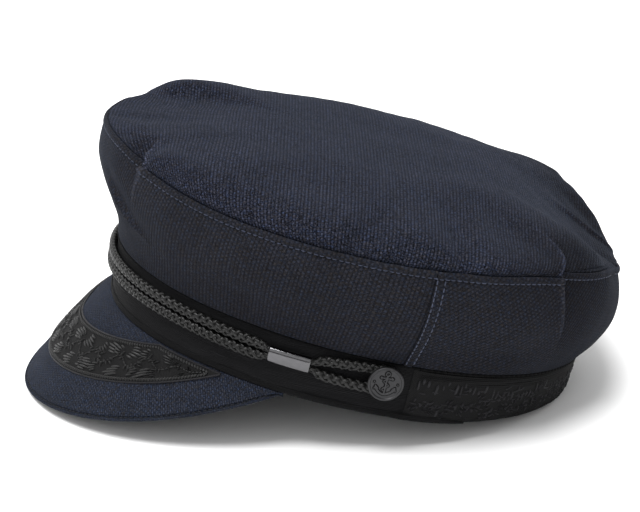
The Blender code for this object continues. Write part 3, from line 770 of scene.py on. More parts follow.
class Finish(Tree):
    """A material that is worked out from the cloth's own coordinates, in metres."""

    def __init__(self, name, roughness, specular=0.5, metallic=0.0):
        self.material = bpy.data.materials.new(name)
        super().__init__(self.material, "Principled BSDF")
        self.set(Roughness=roughness, Specular_IOR_Level=specular, Metallic=metallic)

    def cloth_place(self):
        _, vector, *_ = self.node("Attribute", (), attribute_name="weave")
        return self.node("SeparateXYZ", (vector,))

    def place(self, x, y, z=0.0):
        return self.node("CombineXYZ", (x, y, z))[0]

    def noise(self, place, scale, detail=2.0):
        return self.node("TexNoise", {"Vector": place, "Scale": scale, "Detail": detail})[0]

    def mix(self, share, low, high):
        return self.node("Mix", {0: share, 6: low, 7: high}, data_type="RGBA")[2]

    def times(self, colour, amount):
        """A colour made lighter or darker by a number."""
        return self.node("VectorMath", {0: colour, "Scale": amount}, operation="SCALE")[0]

    def made(self, colour, height, distance, strength):
        """The finished material, with its colour and the height of its grain."""
        bump = self.node("Bump", {"Height": height, "Distance": distance, "Strength": strength})
        self.set(Base_Color=colour, Normal=bump[0])
        return self.material


CANVAS_GREY, CANVAS_BLUE = (0.0160, 0.0142, 0.0142), (0.0142, 0.0176, 0.0270)
WEFT_SHADE, WARP_SHADE = 0.84, 1.18
# The canvas's painted light: how much the painted highlight lightens folded edges, and how much painted
# shade darkens and tints the cloth.
EDGE_PAINTED_HIGHLIGHT, PAINTED_SHADE_DARKNESS, PAINTED_SHADE_TINT = 0.75, 0.52, (0.90, 0.95, 1.04)
CANVAS_WARM, MELANGE, MELANGE_HUE = (0.0215, 0.0158, 0.0135), 0.58, 0.50
SPECKS_ACROSS, SPECKS_ALONG = 3.0, 2.0
SHEEN_ROUGHNESS, SHEEN_TINT = 0.38, (0.55, 0.70, 1.0)


def canvas(name, warp, weft, tint, contrast, sheen, bump=1.0):
    """Melange cotton canvas. Warp and weft are the threads' spacings, and tint scales its colour.

    The weave's third value is painted light: above 0 a painted highlight along folded edges, and
    below 0 painted shade in the folds' tucks, towards the back and low on the side panels.
    """
    finish = Finish(name, 0.9, 0.04)
    u, v, painted_light_value = finish.cloth_place()
    column, row = u * (1 / warp), v * (1 / weft)
    across, along = (column * math.pi).math("SINE"), (row * math.pi).math("SINE")
    over = across * along
    warp_high = across.math("ABSOLUTE") * (over * 0.40 + 0.62)
    weft_high = along.math("ABSOLUTE") * (over * -0.45 + 0.50)
    high = warp_high.math("MAXIMUM", weft_high)
    warp_shows = warp_high.math("GREATER_THAN", weft_high)
    warp_thread = finish.noise(finish.place(column.math("FLOOR"), row * 0.35), 2.6, 3)
    weft_thread = finish.noise(finish.place(column * 0.45, row.math("FLOOR"), 7.0), 2.6, 3)
    own = finish.mix(warp_shows, weft_thread, warp_thread)
    colour = finish.mix(own.range(0.36, 0.64, 0, 1), CANVAS_GREY, CANVAS_BLUE)
    depth = high.range(0.20, 0.90, 1 - 0.42 * contrast, 1 + 0.22 * contrast)
    depth = depth * warp_shows.range(0, 1, WEFT_SHADE, WARP_SHADE)
    fine_column, fine_row = (column * SPECKS_ACROSS).math("FLOOR"), (row * SPECKS_ALONG).math("FLOOR")
    tone, speck = finish.node("TexWhiteNoise", (finish.place(fine_column, fine_row, warp_shows),))
    _, hue, _ = finish.node("SeparateColor", (speck,))
    colour = finish.mix(hue.range(0, 1, 0, MELANGE_HUE), colour, CANVAS_WARM)
    depth = depth * tone.range(0, 1, 1 - MELANGE * contrast, 1 + MELANGE * contrast)
    # Painted light from the weave's third value: above 0 it lightens the cloth as a painted highlight
    # along folded edges, below 0 it darkens and tints it as painted shade; both multiply the random
    # tone.
    edge = painted_light_value.math("MAXIMUM", 0.0) * EDGE_PAINTED_HIGHLIGHT
    painted_shade_amount = (painted_light_value * -1.0).math("MAXIMUM", 0.0)
    worn = finish.noise(finish.place(u, v), 34, 4).range(0.3, 0.7, 0.90, 1.10)
    worn = worn * (edge + painted_shade_amount.range(0, 1, 1, PAINTED_SHADE_DARKNESS))
    colour = finish.times(colour, depth * worn)
    tint = finish.mix(painted_shade_amount, tint, PAINTED_SHADE_TINT)
    colour = finish.node("VectorMath", (colour, tint), operation="MULTIPLY")[0]
    finish.set(Sheen_Weight=sheen, Sheen_Roughness=SHEEN_ROUGHNESS, Sheen_Tint=SHEEN_TINT)
    slub = finish.noise(finish.place(u, v), 2600, 1)
    return finish.made(colour, slub * 0.35 + high, 0.00030 * bump, 0.8)


def black_cloth(name, tone=1.0):
    """Black bias tape: fine wavy grain that runs round the head."""
    finish = Finish(name, 0.75, 0.09)
    u, v, _ = finish.cloth_place()
    wander = finish.noise(finish.place(u * 60, v * 260), 1, 3)
    broad = finish.noise(finish.place(u * 90, v * 900, 3.0), 1)
    height = (wander * 0.0020 + v).wave(0.00062) * 0.35 + broad
    shade = height.range(0.1, 0.95, 0.50 * tone, 1.50 * tone)
    return finish.made(finish.times((0.0063, 0.0063, 0.0070), shade), height, 0.00036, 0.8)


def lace_cloth(name, tone, specular):
    """The black ground under the embroidery: fine cross ribs."""
    finish = Finish(name, 0.70, specular)
    u, v, _ = finish.cloth_place()
    ribs = (u + v * 0.55).wave(0.00085) * v.wave(0.00070)
    height = ribs * 0.5 + finish.noise(finish.place(u, v), 1900)
    shade = height.range(0, 1, 0.5 * tone, 1.5 * tone)
    return finish.made(finish.times((0.0080, 0.0080, 0.0084), shade), height, 0.00020, 0.9)


def thread(name, colour, roughness, specular, strands=0.00016, sheen=0.0):
    """Spun or twisted thread: fine plies that wind along it."""
    finish = Finish(name, roughness, specular)
    u, v, w = finish.cloth_place()
    fuzz = finish.noise(finish.place(u * 3, v, w), 1500)
    height = (u * 0.9 + v).wave(strands) * 0.3 + fuzz
    own = finish.noise(finish.place(u * 0.2, 0.0, w), 60, 1)
    shade = height.range(0.1, 0.9, 0.72, 1.28) * own.range(0.3, 0.7, 0.8, 1.2)
    finish.set(Sheen_Weight=sheen)
    return finish.made(finish.times(colour, shade), height, 0.00008, 0.6)


def metal(name, colour, roughness, brushed, stain=None):
    """Satin metal with fine brushing. Where stain is given, the weave's third value darkens it."""
    finish = Finish(name, roughness, 0.5, 1.0)
    u, v, w = finish.cloth_place()
    if stain is not None:
        colour = finish.mix(w, colour, stain)
    brush = finish.noise(finish.place(u * 40, v * 1500), 3, 3)
    smear = finish.noise(finish.place(u, v), 420)
    shade = smear.range(0.3, 0.7, 0.90, 1.06)
    rough = smear.range(0.3, 0.7, roughness - 0.04, roughness + 0.06)
    finish.set(Roughness=brush * brushed + rough)
    return finish.made(finish.times(colour, shade), brush, 0.00002, 0.5)


CANVAS = canvas("navy_canvas", 0.00140, 0.00090, (0.84, 0.92, 1.01), 0.75, 0.035)
# The top's canvas is a lighter, bluer copy of the side panels' canvas: painted light where the top faces
# the lamps.
TOP_CANVAS_PAINTED_LIGHT = canvas("navy_top_canvas_painted_light", 0.00140, 0.00090, (0.94, 1.10, 1.42), 1.50, 0.055)
# The visor's canvas has a finer weave of its own; its bluer tint is painted light where the visor faces
# the lamps.
VISOR_CANVAS_PAINTED_LIGHT = canvas("navy_visor_canvas_painted_light", 0.0010, 0.0010, (0.89, 1.09, 1.34), 1.0, 0.035, 0.8)
BLACK_CLOTH = black_cloth("black_band_cloth")
# A darker copy of the band cloth: painted shade for the picot under the crown's hem; the foot tape uses
# it too.
BLACK_TAPE_PAINTED_SHADE = black_cloth("black_edge_tape_painted_shade", 0.60)
LACE = lace_cloth("black_lace_ground", 0.80, 0.11)
RIBBON = lace_cloth("black_ribbon_ground", 0.90, 0.10)
SILK = thread("black_silk", (0.0076, 0.0076, 0.0080), 0.38, 0.36)
DULL_SILK = thread("black_ribbon_silk", (0.0080, 0.0078, 0.0098), 0.48, 0.22)
YARN = thread("black_cord_yarn", (0.0033, 0.0033, 0.0032), 0.31, 0.35, 0.00034)
BLUE_THREAD = thread("pale_stitching", (0.042, 0.051, 0.084), 0.7, 0.2, 0.00020, 0.1)
DARK_THREAD = thread("dark_stitching", (0.0085, 0.0090, 0.0120), 0.6, 0.3, 0.00020)
SATIN = metal("satin_metal", (0.118, 0.117, 0.122), 0.11, 0.05)
GUNMETAL = metal("dark_button_metal", (0.050, 0.050, 0.052), 0.45, 0.10, (0.005, 0.005, 0.005))


# The crown
TOP_ROWS, PANEL_ROWS, CLOTH_SHARP = 92, 46, 70.0
TOP_LINING = np.array((1.0001, 1.06, 1.14, 1.24, 1.36, 1.48, 1.6, 1.72, 1.84, 1.94, 1.985))
PANEL_LINING = np.array((1, 0.94, 0.84, 0.7, 0.55, 0.4, 0.25, 0.1, 0))
# Close rows and columns beside a seam or the hem, in mm from it.
SEAM_STEPS = np.array((0, 0.15, 0.3, 0.5, 0.75, 1.1, 1.8, 2.4, 2.7, 2.9, 3.1, 3.3, 3.6))
RIM_STEPS = np.array((0, 0.1, 0.25, 0.45, 0.7, 1, 1.5, 2.1, 2.5, 2.75, 3, 3.25, 3.5, 4))
HEM_STEPS = np.array((0, 0.12, 0.3, 0.55, 0.85, 1.2))
PANEL_HEIGHT = 46.0


def turned(u, v, degrees):
    """Cloth coordinates turned in their own plane."""
    angle = math.radians(degrees)
    cosine, sine = math.cos(angle), math.sin(angle)
    return vectors(u * cosine - v * sine, u * sine + v * cosine)


def near_folds():
    """Extra columns where the near side's folds need a crisp edge."""
    return np.concatenate([row[0] + np.arange(-1.4, 1.41, 0.1) for row in FOLD_ROWS])


def crown_top():
    columns = np.unique(np.concatenate((np.arange(0, 360, 0.5), near_folds())).round(4))[None]
    rises = 1.0001 + 0.987 * np.linspace(0, 1, TOP_ROWS) ** 1.22
    outer, _ = crown_cloth(columns, rises[:, None])
    from_rim = lengths(outer)
    from_middle = from_rim[-1] + np.linalg.norm(outer[-1, :, :2], axis=-1) - from_rim
    v, u = np.moveaxis(scaled(unit(outer[..., :2]), from_middle), -1, 0)
    # The third value is painted light: painted highlight on the folds' edges, painted shade elsewhere.
    cloth = vectors(u, v, crown_painted_light(columns, rises[:, None]))
    share = np.interp(TOP_LINING, rises, np.arange(TOP_ROWS)).round().astype(int)
    middle = crown_base(np.array(0.0), np.array(2.0), 0.0)
    tips = np.stack((middle, middle - (0, 0, CROWN_WALL)))
    rings = np.concatenate((outer[::-1], crown_lining(columns, TOP_LINING[:, None])))
    weave = np.concatenate((cloth[::-1], cloth[share]))
    shell("crown_top_cloth", TOP_CANVAS_PAINTED_LIGHT, "navy_canvas", "crown_top", rings, weave, CLOTH_SHARP,
          tips=tips)


def panel_columns(first, last):
    """Columns of a side panel, finer beside its two seams and at the folds."""
    beside = 0.05 + np.degrees(SEAM_STEPS * MM / RIM_HALF_WIDTH)
    low, high = first + beside, last - beside
    even = np.arange(math.ceil(first * 2) / 2 + 0.5, last - 0.4, 0.5)
    inner = np.concatenate((even, near_folds()))
    inner = inner[(inner > low.max() + 0.2) & (inner < high.min() - 0.2)]
    return np.unique(np.concatenate((low, high, inner)).round(4))[:, None]


def side_panel(name, node, first, last, grain):
    columns = panel_columns(first, last)
    middle = np.linspace(2.2 / PANEL_HEIGHT, 1 - 5 / PANEL_HEIGHT, PANEL_ROWS)
    rises = np.concatenate(
        (HEM_STEPS / PANEL_HEIGHT, middle, 1 - RIM_STEPS[::-1] / PANEL_HEIGHT)
    )
    outer, _ = crown_cloth(columns, rises)
    outer[..., 2] -= np.where(rises > 0.999, SEAM_CLOSE, 0)
    rings = np.concatenate((outer, crown_lining(columns, PANEL_LINING)), axis=1)
    shares = np.concatenate((rises, PANEL_LINING))
    length = np.radians(columns) * (BAND_HALF_WIDTH + RIM_FRONT) / 2
    u, v = np.moveaxis(turned(length, shares * panel_run(columns), grain), -1, 0)
    # The third value is painted light: painted highlight on the folds' edges, painted shade elsewhere.
    weave = vectors(u, v, crown_painted_light(columns, shares))
    shell(name, CANVAS, "navy_canvas", node, rings, weave, CLOTH_SHARP)


def stitch_row(build, points, normals, count, jitter, width=STITCH_WIDTH, height=STITCH_HEIGHT):
    """An even row of stitches along a line of surface points."""
    along = lengths(points)
    pitch = along[-1] / count
    random = np.random.default_rng(count + 17)
    middle = (np.arange(count) + 0.5) * pitch + random.normal(0, jitter, count)
    half = pitch * STITCH_LENGTH / STITCH_PITCH / 2 * random.uniform(0.88, 1.08, count)
    start, end = (at_places(middle + side * half, along, points) for side in (-1, 1))
    stitches(build, start, end, unit(at_places(middle, along, normals)), width, height)


def crown_stitching():
    """The row below the rim seam all round, and the rows behind and on each side seam."""
    build = Build()
    columns = np.arange(0, 360.01, 0.5)
    points, normals = crown_cloth(columns, 1 - STITCH_LINE / panel_run(columns))
    points += normals * STITCH_LIFT
    stitch_row(build, points, normals, round(lengths(points)[-1] / STITCH_PITCH), STITCH_JITTER)
    behind = SIDE_SEAM_ANGLE + math.degrees(STITCH_LINE / RIM_HALF_WIDTH)
    rises = np.linspace(0.03, 0.93, 60)
    for column in (behind, 360 - behind):
        points, normals = crown_cloth(np.full(60, column), rises)
        stitch_row(build, points + normals * STITCH_LIFT, normals, 17, STITCH_JITTER)
        seam = column - side_of(column) * math.degrees(SEAM_STITCH_BACK / RIM_HALF_WIDTH)
        points, normals = crown_cloth(np.full(60, seam), rises)
        points += normals * 2 * STITCH_LIFT
        size = (SEAM_STITCH_WIDTH, SEAM_STITCH_HEIGHT)
        stitch_row(build, points, normals, 19, FINE_STITCH_JITTER, *size)
    build.finish("crown_stitching", [BLUE_THREAD], "navy_canvas")


# The band, its edges and its ribbon
BAND_COLUMNS, BAND_SHARP = 360, 60.0
BAND_FOLD_HEIGHT, BAND_FOLD_DEPTH, BAND_FOLD_WIDTH = 0.0019, 0.00035, 0.00045
BAND_EDGE_ROUND, BAND_WOBBLE = 0.0007, 0.00018
EDGING_PITCH, EDGING_RADIUS, EDGING_BUMP = 0.0026, 0.00036, 0.00014
TAPE_END_ANGLE, TAPE_HEIGHT, TAPE_THICKNESS = 118.0, 0.0026, 0.0003
RIBBON_TOP_RIBS, RIBBON_RIB_PITCH, RIBBON_RIB_HEIGHT = 5, 0.00085, 0.00020
RIBBON_LIFT, RIBBON_END_FADE, RIBBON_SEED = 0.0006, 0.004, 41
RIBBON_EDGE_DROP, RIBBON_EDGE_WIDTH, RIBBON_WOBBLE = 0.0004, 0.0005, 0.00012


def band_shell():
    columns = (180 + np.arange(BAND_COLUMNS) * 360 / BAND_COLUMNS)[:, None]
    foot, tall = band_foot(columns), band_height(columns) - band_foot(columns)
    height = foot + tall * np.concatenate((np.linspace(0, 0.2, 14), np.linspace(0.25, 1, 12)))
    above = height - foot
    outward = -rounded(above, BAND_EDGE_ROUND)
    outward -= BAND_FOLD_DEPTH * bell((above - BAND_FOLD_HEIGHT) / BAND_FOLD_WIDTH)
    plain = band_point(columns, 0.0, height)
    outward = outward + BAND_WOBBLE * unevenness(plain, 0.03, 21) * smooth(above / 0.004)
    inside = foot + tall * np.array((1, 0.66, 0.33, 0))
    outer, inner = band_point(columns, outward, height), band_point(columns, -BAND_WALL, inside)
    rings = np.concatenate((outer, inner), axis=1)
    weave = vectors(band_length(columns), np.concatenate((height, inside), axis=1))
    shell("band_cloth", BLACK_CLOTH, "black_band", "band", rings, weave, BAND_SHARP, True)


def band_edging():
    """The thin black picot along the crown's hem."""
    columns = np.linspace(0, 360, 1600, endpoint=False)
    wave = 0.5 + 0.5 * np.cos(np.radians(columns) * round(band_length(columns[-1]) / EDGING_PITCH))
    at_back = smooth((half_angle(columns) - 100) / 12)
    radius = EDGING_RADIUS + EDGING_BUMP * wave * (1 + at_back)
    height = band_height(columns) + 0.0001 * at_back + (0.00015 + 0.0002 * at_back) * wave
    path = band_point(columns, 0.0006 + 0.0004 * at_back, height)
    build = Build()
    tube(build, path, band_normal(columns), radius, radius * 0.8, 7, True)
    build.finish("band_edging", [BLACK_TAPE_PAINTED_SHADE], "black_band")


def foot_tape():
    """The plain tape that binds the band's lower edge at the front and ends over the ribbon."""
    columns = np.linspace(-TAPE_END_ANGLE, TAPE_END_ANGLE, 300)[:, None]
    over = smooth((half_angle(columns) - TRIM_START_ANGLE + 3) / 3)
    lifted = smooth((half_angle(columns) - TAPE_END_ANGLE + 9) / 9)
    start = GAP / 3 + (RIBBON_LIFT + GAP) * over
    tall = TAPE_HEIGHT * (1 - 0.6 * lifted)
    height = band_foot(columns) + 0.0002 + tall * np.array((0, 0.2, 0.5, 0.8, 1))
    bulge = TAPE_THICKNESS * np.array((0.35, 0.85, 1, 0.85, 0.35))
    outer = band_point(columns, start + bulge, height)
    inner = band_point(columns, start, height[:, (4, 0)])
    rings = np.concatenate((outer, inner), axis=1)
    weave = vectors(band_length(columns), np.concatenate((height, height[:, (4, 0)]), axis=1))
    build = Build()
    build.grid(rings, weave)
    build.finish("band_foot_tape", [BLACK_TAPE_PAINTED_SHADE], "black_band")


# Embroidery. A motif is drawn flat, in mm, x along the strip and y across it, and then laid on the
# cap. A bar of it is (x0, y0, x1, y1, width, height).
def sprig(x, y, heading, count, length, spread, fan):
    """A palm-like leaf of long satin stitches."""
    forward = np.array((math.cos(heading), math.sin(heading)))
    aside = np.array((-forward[1], forward[0]))
    bars = []
    for part in np.linspace(-1, 1, count):
        root = np.array((x, y)) + aside * (0.5 * spread * part) - forward * (0.9 * abs(part))
        reach = length * (1 - 0.35 * abs(part))
        tip = root + forward * reach + aside * (fan * reach * part)
        bars.append((*root, *tip, spread / count * 1.02, 0.50))
    return bars


def vine(length, half_width, wave, seed):
    """A wandering stem with a leaf on each side of every turn, for a strip of cloth.

    half_width gives the strip's free half-width at a place along it.
    """
    random = np.random.default_rng(seed)
    turns = round(length / wave)
    pitch = length / turns
    places = [(k, pitch * k / 10) for k in range(turns * 10 + 1)]
    stem = [(x, 0.30 * half_width(x) * math.sin(math.pi * k / 5)) for k, x in places]
    bars = [(*a, *b, 0.55, 0.36) for a, b in zip(stem, stem[1:])]
    for x, side in [(pitch * (t + s), w) for t in range(turns) for s, w in ((0.25, 1), (0.75, -1))]:
        free = half_width(x)
        if free < 1.2:
            continue
        size = min(1, free / 7)
        lean = random.uniform(-0.20, 0.20)
        way, back = (1, 0) if random.random() < 0.5 else (-1, math.pi)
        tall = 0.62 * free * side
        # Columns: place along and across, heading, count, length, spread and fan of each leaf.
        for along, across, heading, count, reach, spread, fan in (
            (-3.2 * way, -tall, back + 0.22 * side, 5, 6.8, 4.3, 0.08),
            (1.8 * way, tall * 0.95, back - 0.35 * side, 4, 4.6, 3.0, 0.12),
            (0, tall * 0.40, side * 1.1, 3, 2.8, 2.0, 0.5),
            (4.0 * way, -tall * 0.2, -side * 0.5, 3, 3.2, 1.9, 0.3),
        ):
            bars += sprig(x + along, across, heading + lean, count, reach * size, spread * size, fan)
    return bars


def ribbon_pattern(length, half_width, seed):
    """Upright satin bars in uneven steps, slanting links and small leaves, along a ribbon."""
    random = np.random.default_rng(seed)
    pick = random.uniform
    bars = []
    x = 3.0
    while x < length - 4:
        free = half_width(x)
        top = free * pick(0.35, 1.0)
        for _ in range(random.integers(1, 4)):
            high = min(top + pick(-1.3, 1.3), free)
            tall = pick(1.8, 4.8) * min(1, free / 5.5)
            lean = pick(-0.7, 0.4)
            bars.append((x, high, x + lean, high - tall, pick(0.65, 1.25), 0.42))
            x += pick(1.2, 2.5)
        link = pick(-0.4, 0.7) * free
        bars.append((x - 1.6, link, x + 1.4, link + pick(-1.5, 1.5), 0.6, 0.34))
        bars += sprig(x, pick(-0.5, 0.4) * free, pick(0.2, 2.6), 3, 2.4, 1.8, 0.35)
        x += pick(0.5, 2.2)
    x = 2.6
    while x < length - 3:
        free = half_width(x)
        count = int(random.integers(2, 5))
        low = -free * pick(0.30, 0.95)
        bars += sprig(x, low, pick(-0.9, 0.9), count, pick(1.8, 3.2), 1.7, 0.2)
        level = pick(-0.6, 0.5) * free
        bars.append((x - 1.2, level, x + 1.6, level + pick(-0.5, 0.5), 0.55, 0.30))
        high = pick(-0.7, 0.3) * free
        bars.append((x + 0.9, high, x + 0.4, high - pick(1.4, 3.0), pick(0.6, 1.0), 0.36))
        x += pick(1.7, 3.0)
    return bars


def lay(build, bars, place, keep, thickness=1.0):
    """Lays flat bars on the cap. place gives (point, normal) and keep says which are on the strip."""
    x0, y0, x1, y1, width, height = np.array(bars).T
    kept = keep(x0, y0) & keep(x1, y1)
    start, facing = place(x0[kept], y0[kept])
    end, _ = place(x1[kept], y1[kept])
    stitches(build, start, end, facing, width[kept] * MM, height[kept] * MM * thickness)


def ribbon_line(count=800):
    """(columns, metres from its start) along the ribbon."""
    columns = np.linspace(TRIM_START_ANGLE, 360 - TRIM_START_ANGLE, count)
    return columns, lengths(band_oval(columns))


def ribbon_ground():
    columns = ribbon_line(420)[0]
    length = np.interp(columns, *ribbon_line())[:, None]
    columns = columns[:, None]
    top, foot = band_height(columns) - TRIM_MARGIN, band_foot(columns) + 2 * TRIM_MARGIN
    height = foot + (top - foot) * np.linspace(0, 1, 56)
    below, above = top - height, height - foot
    ribs = RIBBON_RIB_HEIGHT * np.sin(math.tau * below / RIBBON_RIB_PITCH)
    ribbed = (below < RIBBON_TOP_RIBS * RIBBON_RIB_PITCH) | (above < 2 * RIBBON_RIB_PITCH)
    edge = RIBBON_EDGE_DROP * (1 - smooth(np.minimum(below, above) / RIBBON_EDGE_WIDTH))
    wobble = RIBBON_WOBBLE * unevenness(band_point(columns, 0.0, height), 0.02, 31)
    outward = GAP + RIBBON_LIFT + np.where(ribbed, ribs, 0) - edge + wobble
    from_end = np.minimum(length, length[-1] - length)
    outward = blend(GAP + 0.00005, outward, smooth(from_end / RIBBON_END_FADE))
    under = height[:, (55, 28, 0)]
    outer, inner = band_point(columns, outward, height), band_point(columns, GAP / 2, under)
    rings = np.concatenate((outer, inner), axis=1)
    weave = vectors(length, np.concatenate((height, under), axis=1))
    shell("ribbon_ground", RIBBON, "black_embroidery", "band_trim", rings, weave, BAND_SHARP)


def ribbon_embroidery():
    fine, metres = ribbon_line()
    total = metres[-1] / MM

    def strip(x):
        """(column, middle height, half-height) at a place along the ribbon."""
        column = np.interp(x * MM, metres, fine)
        top = band_height(column) - TRIM_MARGIN - (RIBBON_TOP_RIBS - 1.5) * RIBBON_RIB_PITCH
        foot = band_foot(column) + 2 * TRIM_MARGIN + 2 * RIBBON_RIB_PITCH
        return column, (top + foot) / 2, (top - foot) / 2

    def place(x, y):
        column, middle, _ = strip(x)
        return band_point(column, GAP + RIBBON_LIFT, middle + y * MM), band_normal(column)

    def keep(x, y):
        return (x > 0.6) & (x < total - 0.6) & (np.abs(y) * MM < strip(x)[2] + 0.0006)

    build = Build()
    bars = ribbon_pattern(total, lambda x: float(strip(x)[2] / MM), RIBBON_SEED)
    lay(build, bars, place, keep, 0.8)
    build.finish("ribbon_embroidery", [DULL_SILK], "black_embroidery")


# The visor
VISOR_COLUMNS, VISOR_SWELL, VISOR_GRAIN = 320, 0.00030, 30.0
VISOR_LEAST_REACH, VISOR_FULL_RIM = 0.0012, 0.0045
VISOR_GROOVE, VISOR_GROOVE_DEPTH = 0.00158, 0.00065
VISOR_STITCH_PITCH, VISOR_STITCH_WIDTH, VISOR_STITCH_HEIGHT = 0.0023, 0.00045, 0.00022
# The rim's section. Columns: distance in from the edge and height above the upper face, in mm.
VISOR_RIM = (
    (3.2, 0), (2.5, 0), (2.15, -0.10), (1.88, -0.55), (1.58, -0.72), (1.30, -0.48), (1.05, 0.08),
    (0.80, 0.32), (0.48, 0.30), (0.20, 0.08), (0.05, -0.28), (0, -0.70), (0.05, -1.10),
    (0.22, -1.50), (0.55, -1.80), (1.00, -1.95), (1.60, -2.00),
)
LACE_TOP, LACE_CORD, LACE_CORD_IN, LACE_CORD_LIFT = 0.00062, 0.00042, 0.0002, 0.0003
LACE_EDGE_CLEAR, VINE_CLEAR, VINE_TURN, VINE_SEED = 1.7, 0.2, 15.0, 71
ROPE_PITCH, ROPE_LENGTH, ROPE_WIDTH, ROPE_HEIGHT = 0.00135, 0.0011, 0.00085, 0.00040
ROPE_NEAR, ROPE_FAR, ROPE_LEAST_STRIP = 0.0009, 0.0021, 0.0045


def visor_board():
    share = np.sin(np.linspace(-math.pi / 2, math.pi / 2, VISOR_COLUMNS)) * 0.55
    share += np.linspace(-0.45, 0.45, VISOR_COLUMNS)
    reach = np.maximum(visor_reach(share), VISOR_LEAST_REACH)[:, None]
    rim = np.array(VISOR_RIM) * MM
    rim_distance = reach - rim[:, 0] * np.minimum(1, reach / VISOR_FULL_RIM)
    upper = rim_distance[:, :1] * np.linspace(0, 1, 44)[:-1]
    lower = rim_distance[:, -1:] * np.linspace(1, 0, 10)[1:]
    calm = smooth(upper / 0.006) * smooth((reach - upper - 0.003) / 0.008)
    swell = calm * VISOR_SWELL * unevenness(visor_point(share[:, None], upper, 0.0), 0.035, 51)
    distance = np.concatenate((upper, rim_distance, lower), axis=1)
    rim_lift = np.broadcast_to(rim[:, 1], rim_distance.shape)
    lift = np.concatenate((swell, rim_lift, np.full(lower.shape, -VISOR_BOARD)), axis=1)
    rings = visor_point(share[:, None], distance, lift)
    down = scaled(band_normal(share * VISOR_END_ANGLE), VISOR_BOARD / np.sin(visor_slope(share)))
    rings[:, -1] = visor_point(share, 0.0, 0.0) - down
    length = lengths(visor_point(share, reach[:, 0] * 0.6, 0.0))[:, None]
    weave = turned(length, distance, VISOR_GRAIN)
    shell("visor_cloth", VISOR_CANVAS_PAINTED_LIGHT, "navy_canvas", "visor", rings, weave, CLOTH_SHARP)


def visor_stitching():
    share = np.linspace(-0.975, 0.975, 900)
    distance = visor_reach(share) - VISOR_GROOVE
    points = visor_point(share, distance, -VISOR_GROOVE_DEPTH + 0.0001)
    normals = unit(visor_point(share, distance, 0.001) - visor_point(share, distance, 0.0))
    count = round(lengths(points)[-1] / VISOR_STITCH_PITCH)
    build = Build()
    size = (VISOR_STITCH_WIDTH, VISOR_STITCH_HEIGHT)
    stitch_row(build, points, normals, count, FINE_STITCH_JITTER, *size)
    build.finish("visor_stitching", [DARK_THREAD], "navy_canvas")


def lace_outer(share):
    nearer = 1 - EMBROIDERY_TIP_NEARER * share * share
    return visor_reach(share) - EMBROIDERY_FROM_EDGE * nearer


def lace_edges(share):
    """(outer, inner) distance of the visor's embroidered strip from the band."""
    outer = lace_outer(share)
    width = EMBROIDERY_WIDTH * (1 - EMBROIDERY_TAPER * share * share)
    return outer, np.maximum(outer - width, EMBROIDERY_CLEAR)


def lace_line():
    """(shares of the visor, metres from the strip's start) along its middle line."""
    places = np.linspace(0.5, 0.95, 400)
    end = places[lace_outer(places) > 2 * EMBROIDERY_CLEAR].max()
    share = np.linspace(-end, end, 900)
    return share, lengths(visor_point(share, sum(lace_edges(share)) / 2, 0.0))


LACE_SHARE, LACE_METRES = lace_line()
LACE_END, LACE_LENGTH = LACE_SHARE[-1], LACE_METRES[-1] / MM


def lace_surface(share, distance, lift):
    point = visor_point(share, distance, lift)
    return point, unit(visor_point(share, distance, lift + 0.001) - point)


def lace_strip(x):
    """(share of the visor, middle line's distance, free half-width in mm) at x mm along the strip."""
    share = np.interp(x * MM, LACE_METRES, LACE_SHARE)
    outer, inner = lace_edges(share)
    return share, (outer + inner) / 2, (outer - inner) / 2 / MM - LACE_EDGE_CLEAR


def lace_place(x, y):
    share, middle, _ = lace_strip(x)
    return lace_surface(share, middle + y * MM, LACE_TOP)


def lace_keep(x, y):
    return (x > 2) & (x < LACE_LENGTH - 2) & (np.abs(y) < lace_strip(x)[2])


def lace_ground():
    share = np.linspace(-LACE_END, LACE_END, 420)[:, None]
    outer, inner = lace_edges(share)
    distance = inner + (outer - inner) * np.linspace(0, 1, 44)
    within = np.minimum(distance - inner, outer - distance)
    plain = visor_point(share, distance, 0.0)
    edge = 0.0003 * (1 - smooth(within / 0.0006))
    top = visor_point(share, distance, LACE_TOP - edge + 0.00012 * unevenness(plain, 0.009, 61))
    low = distance[:, (43, 22, 0)]
    rings = np.concatenate((top, visor_point(share, low, 0.00006)), axis=1)
    x = np.interp(share, LACE_SHARE, LACE_METRES)
    weave = vectors(x, np.concatenate((distance, low), axis=1))
    shell("lace_ground", LACE, "black_embroidery", "visor_embroidery", rings, weave, BAND_SHARP)


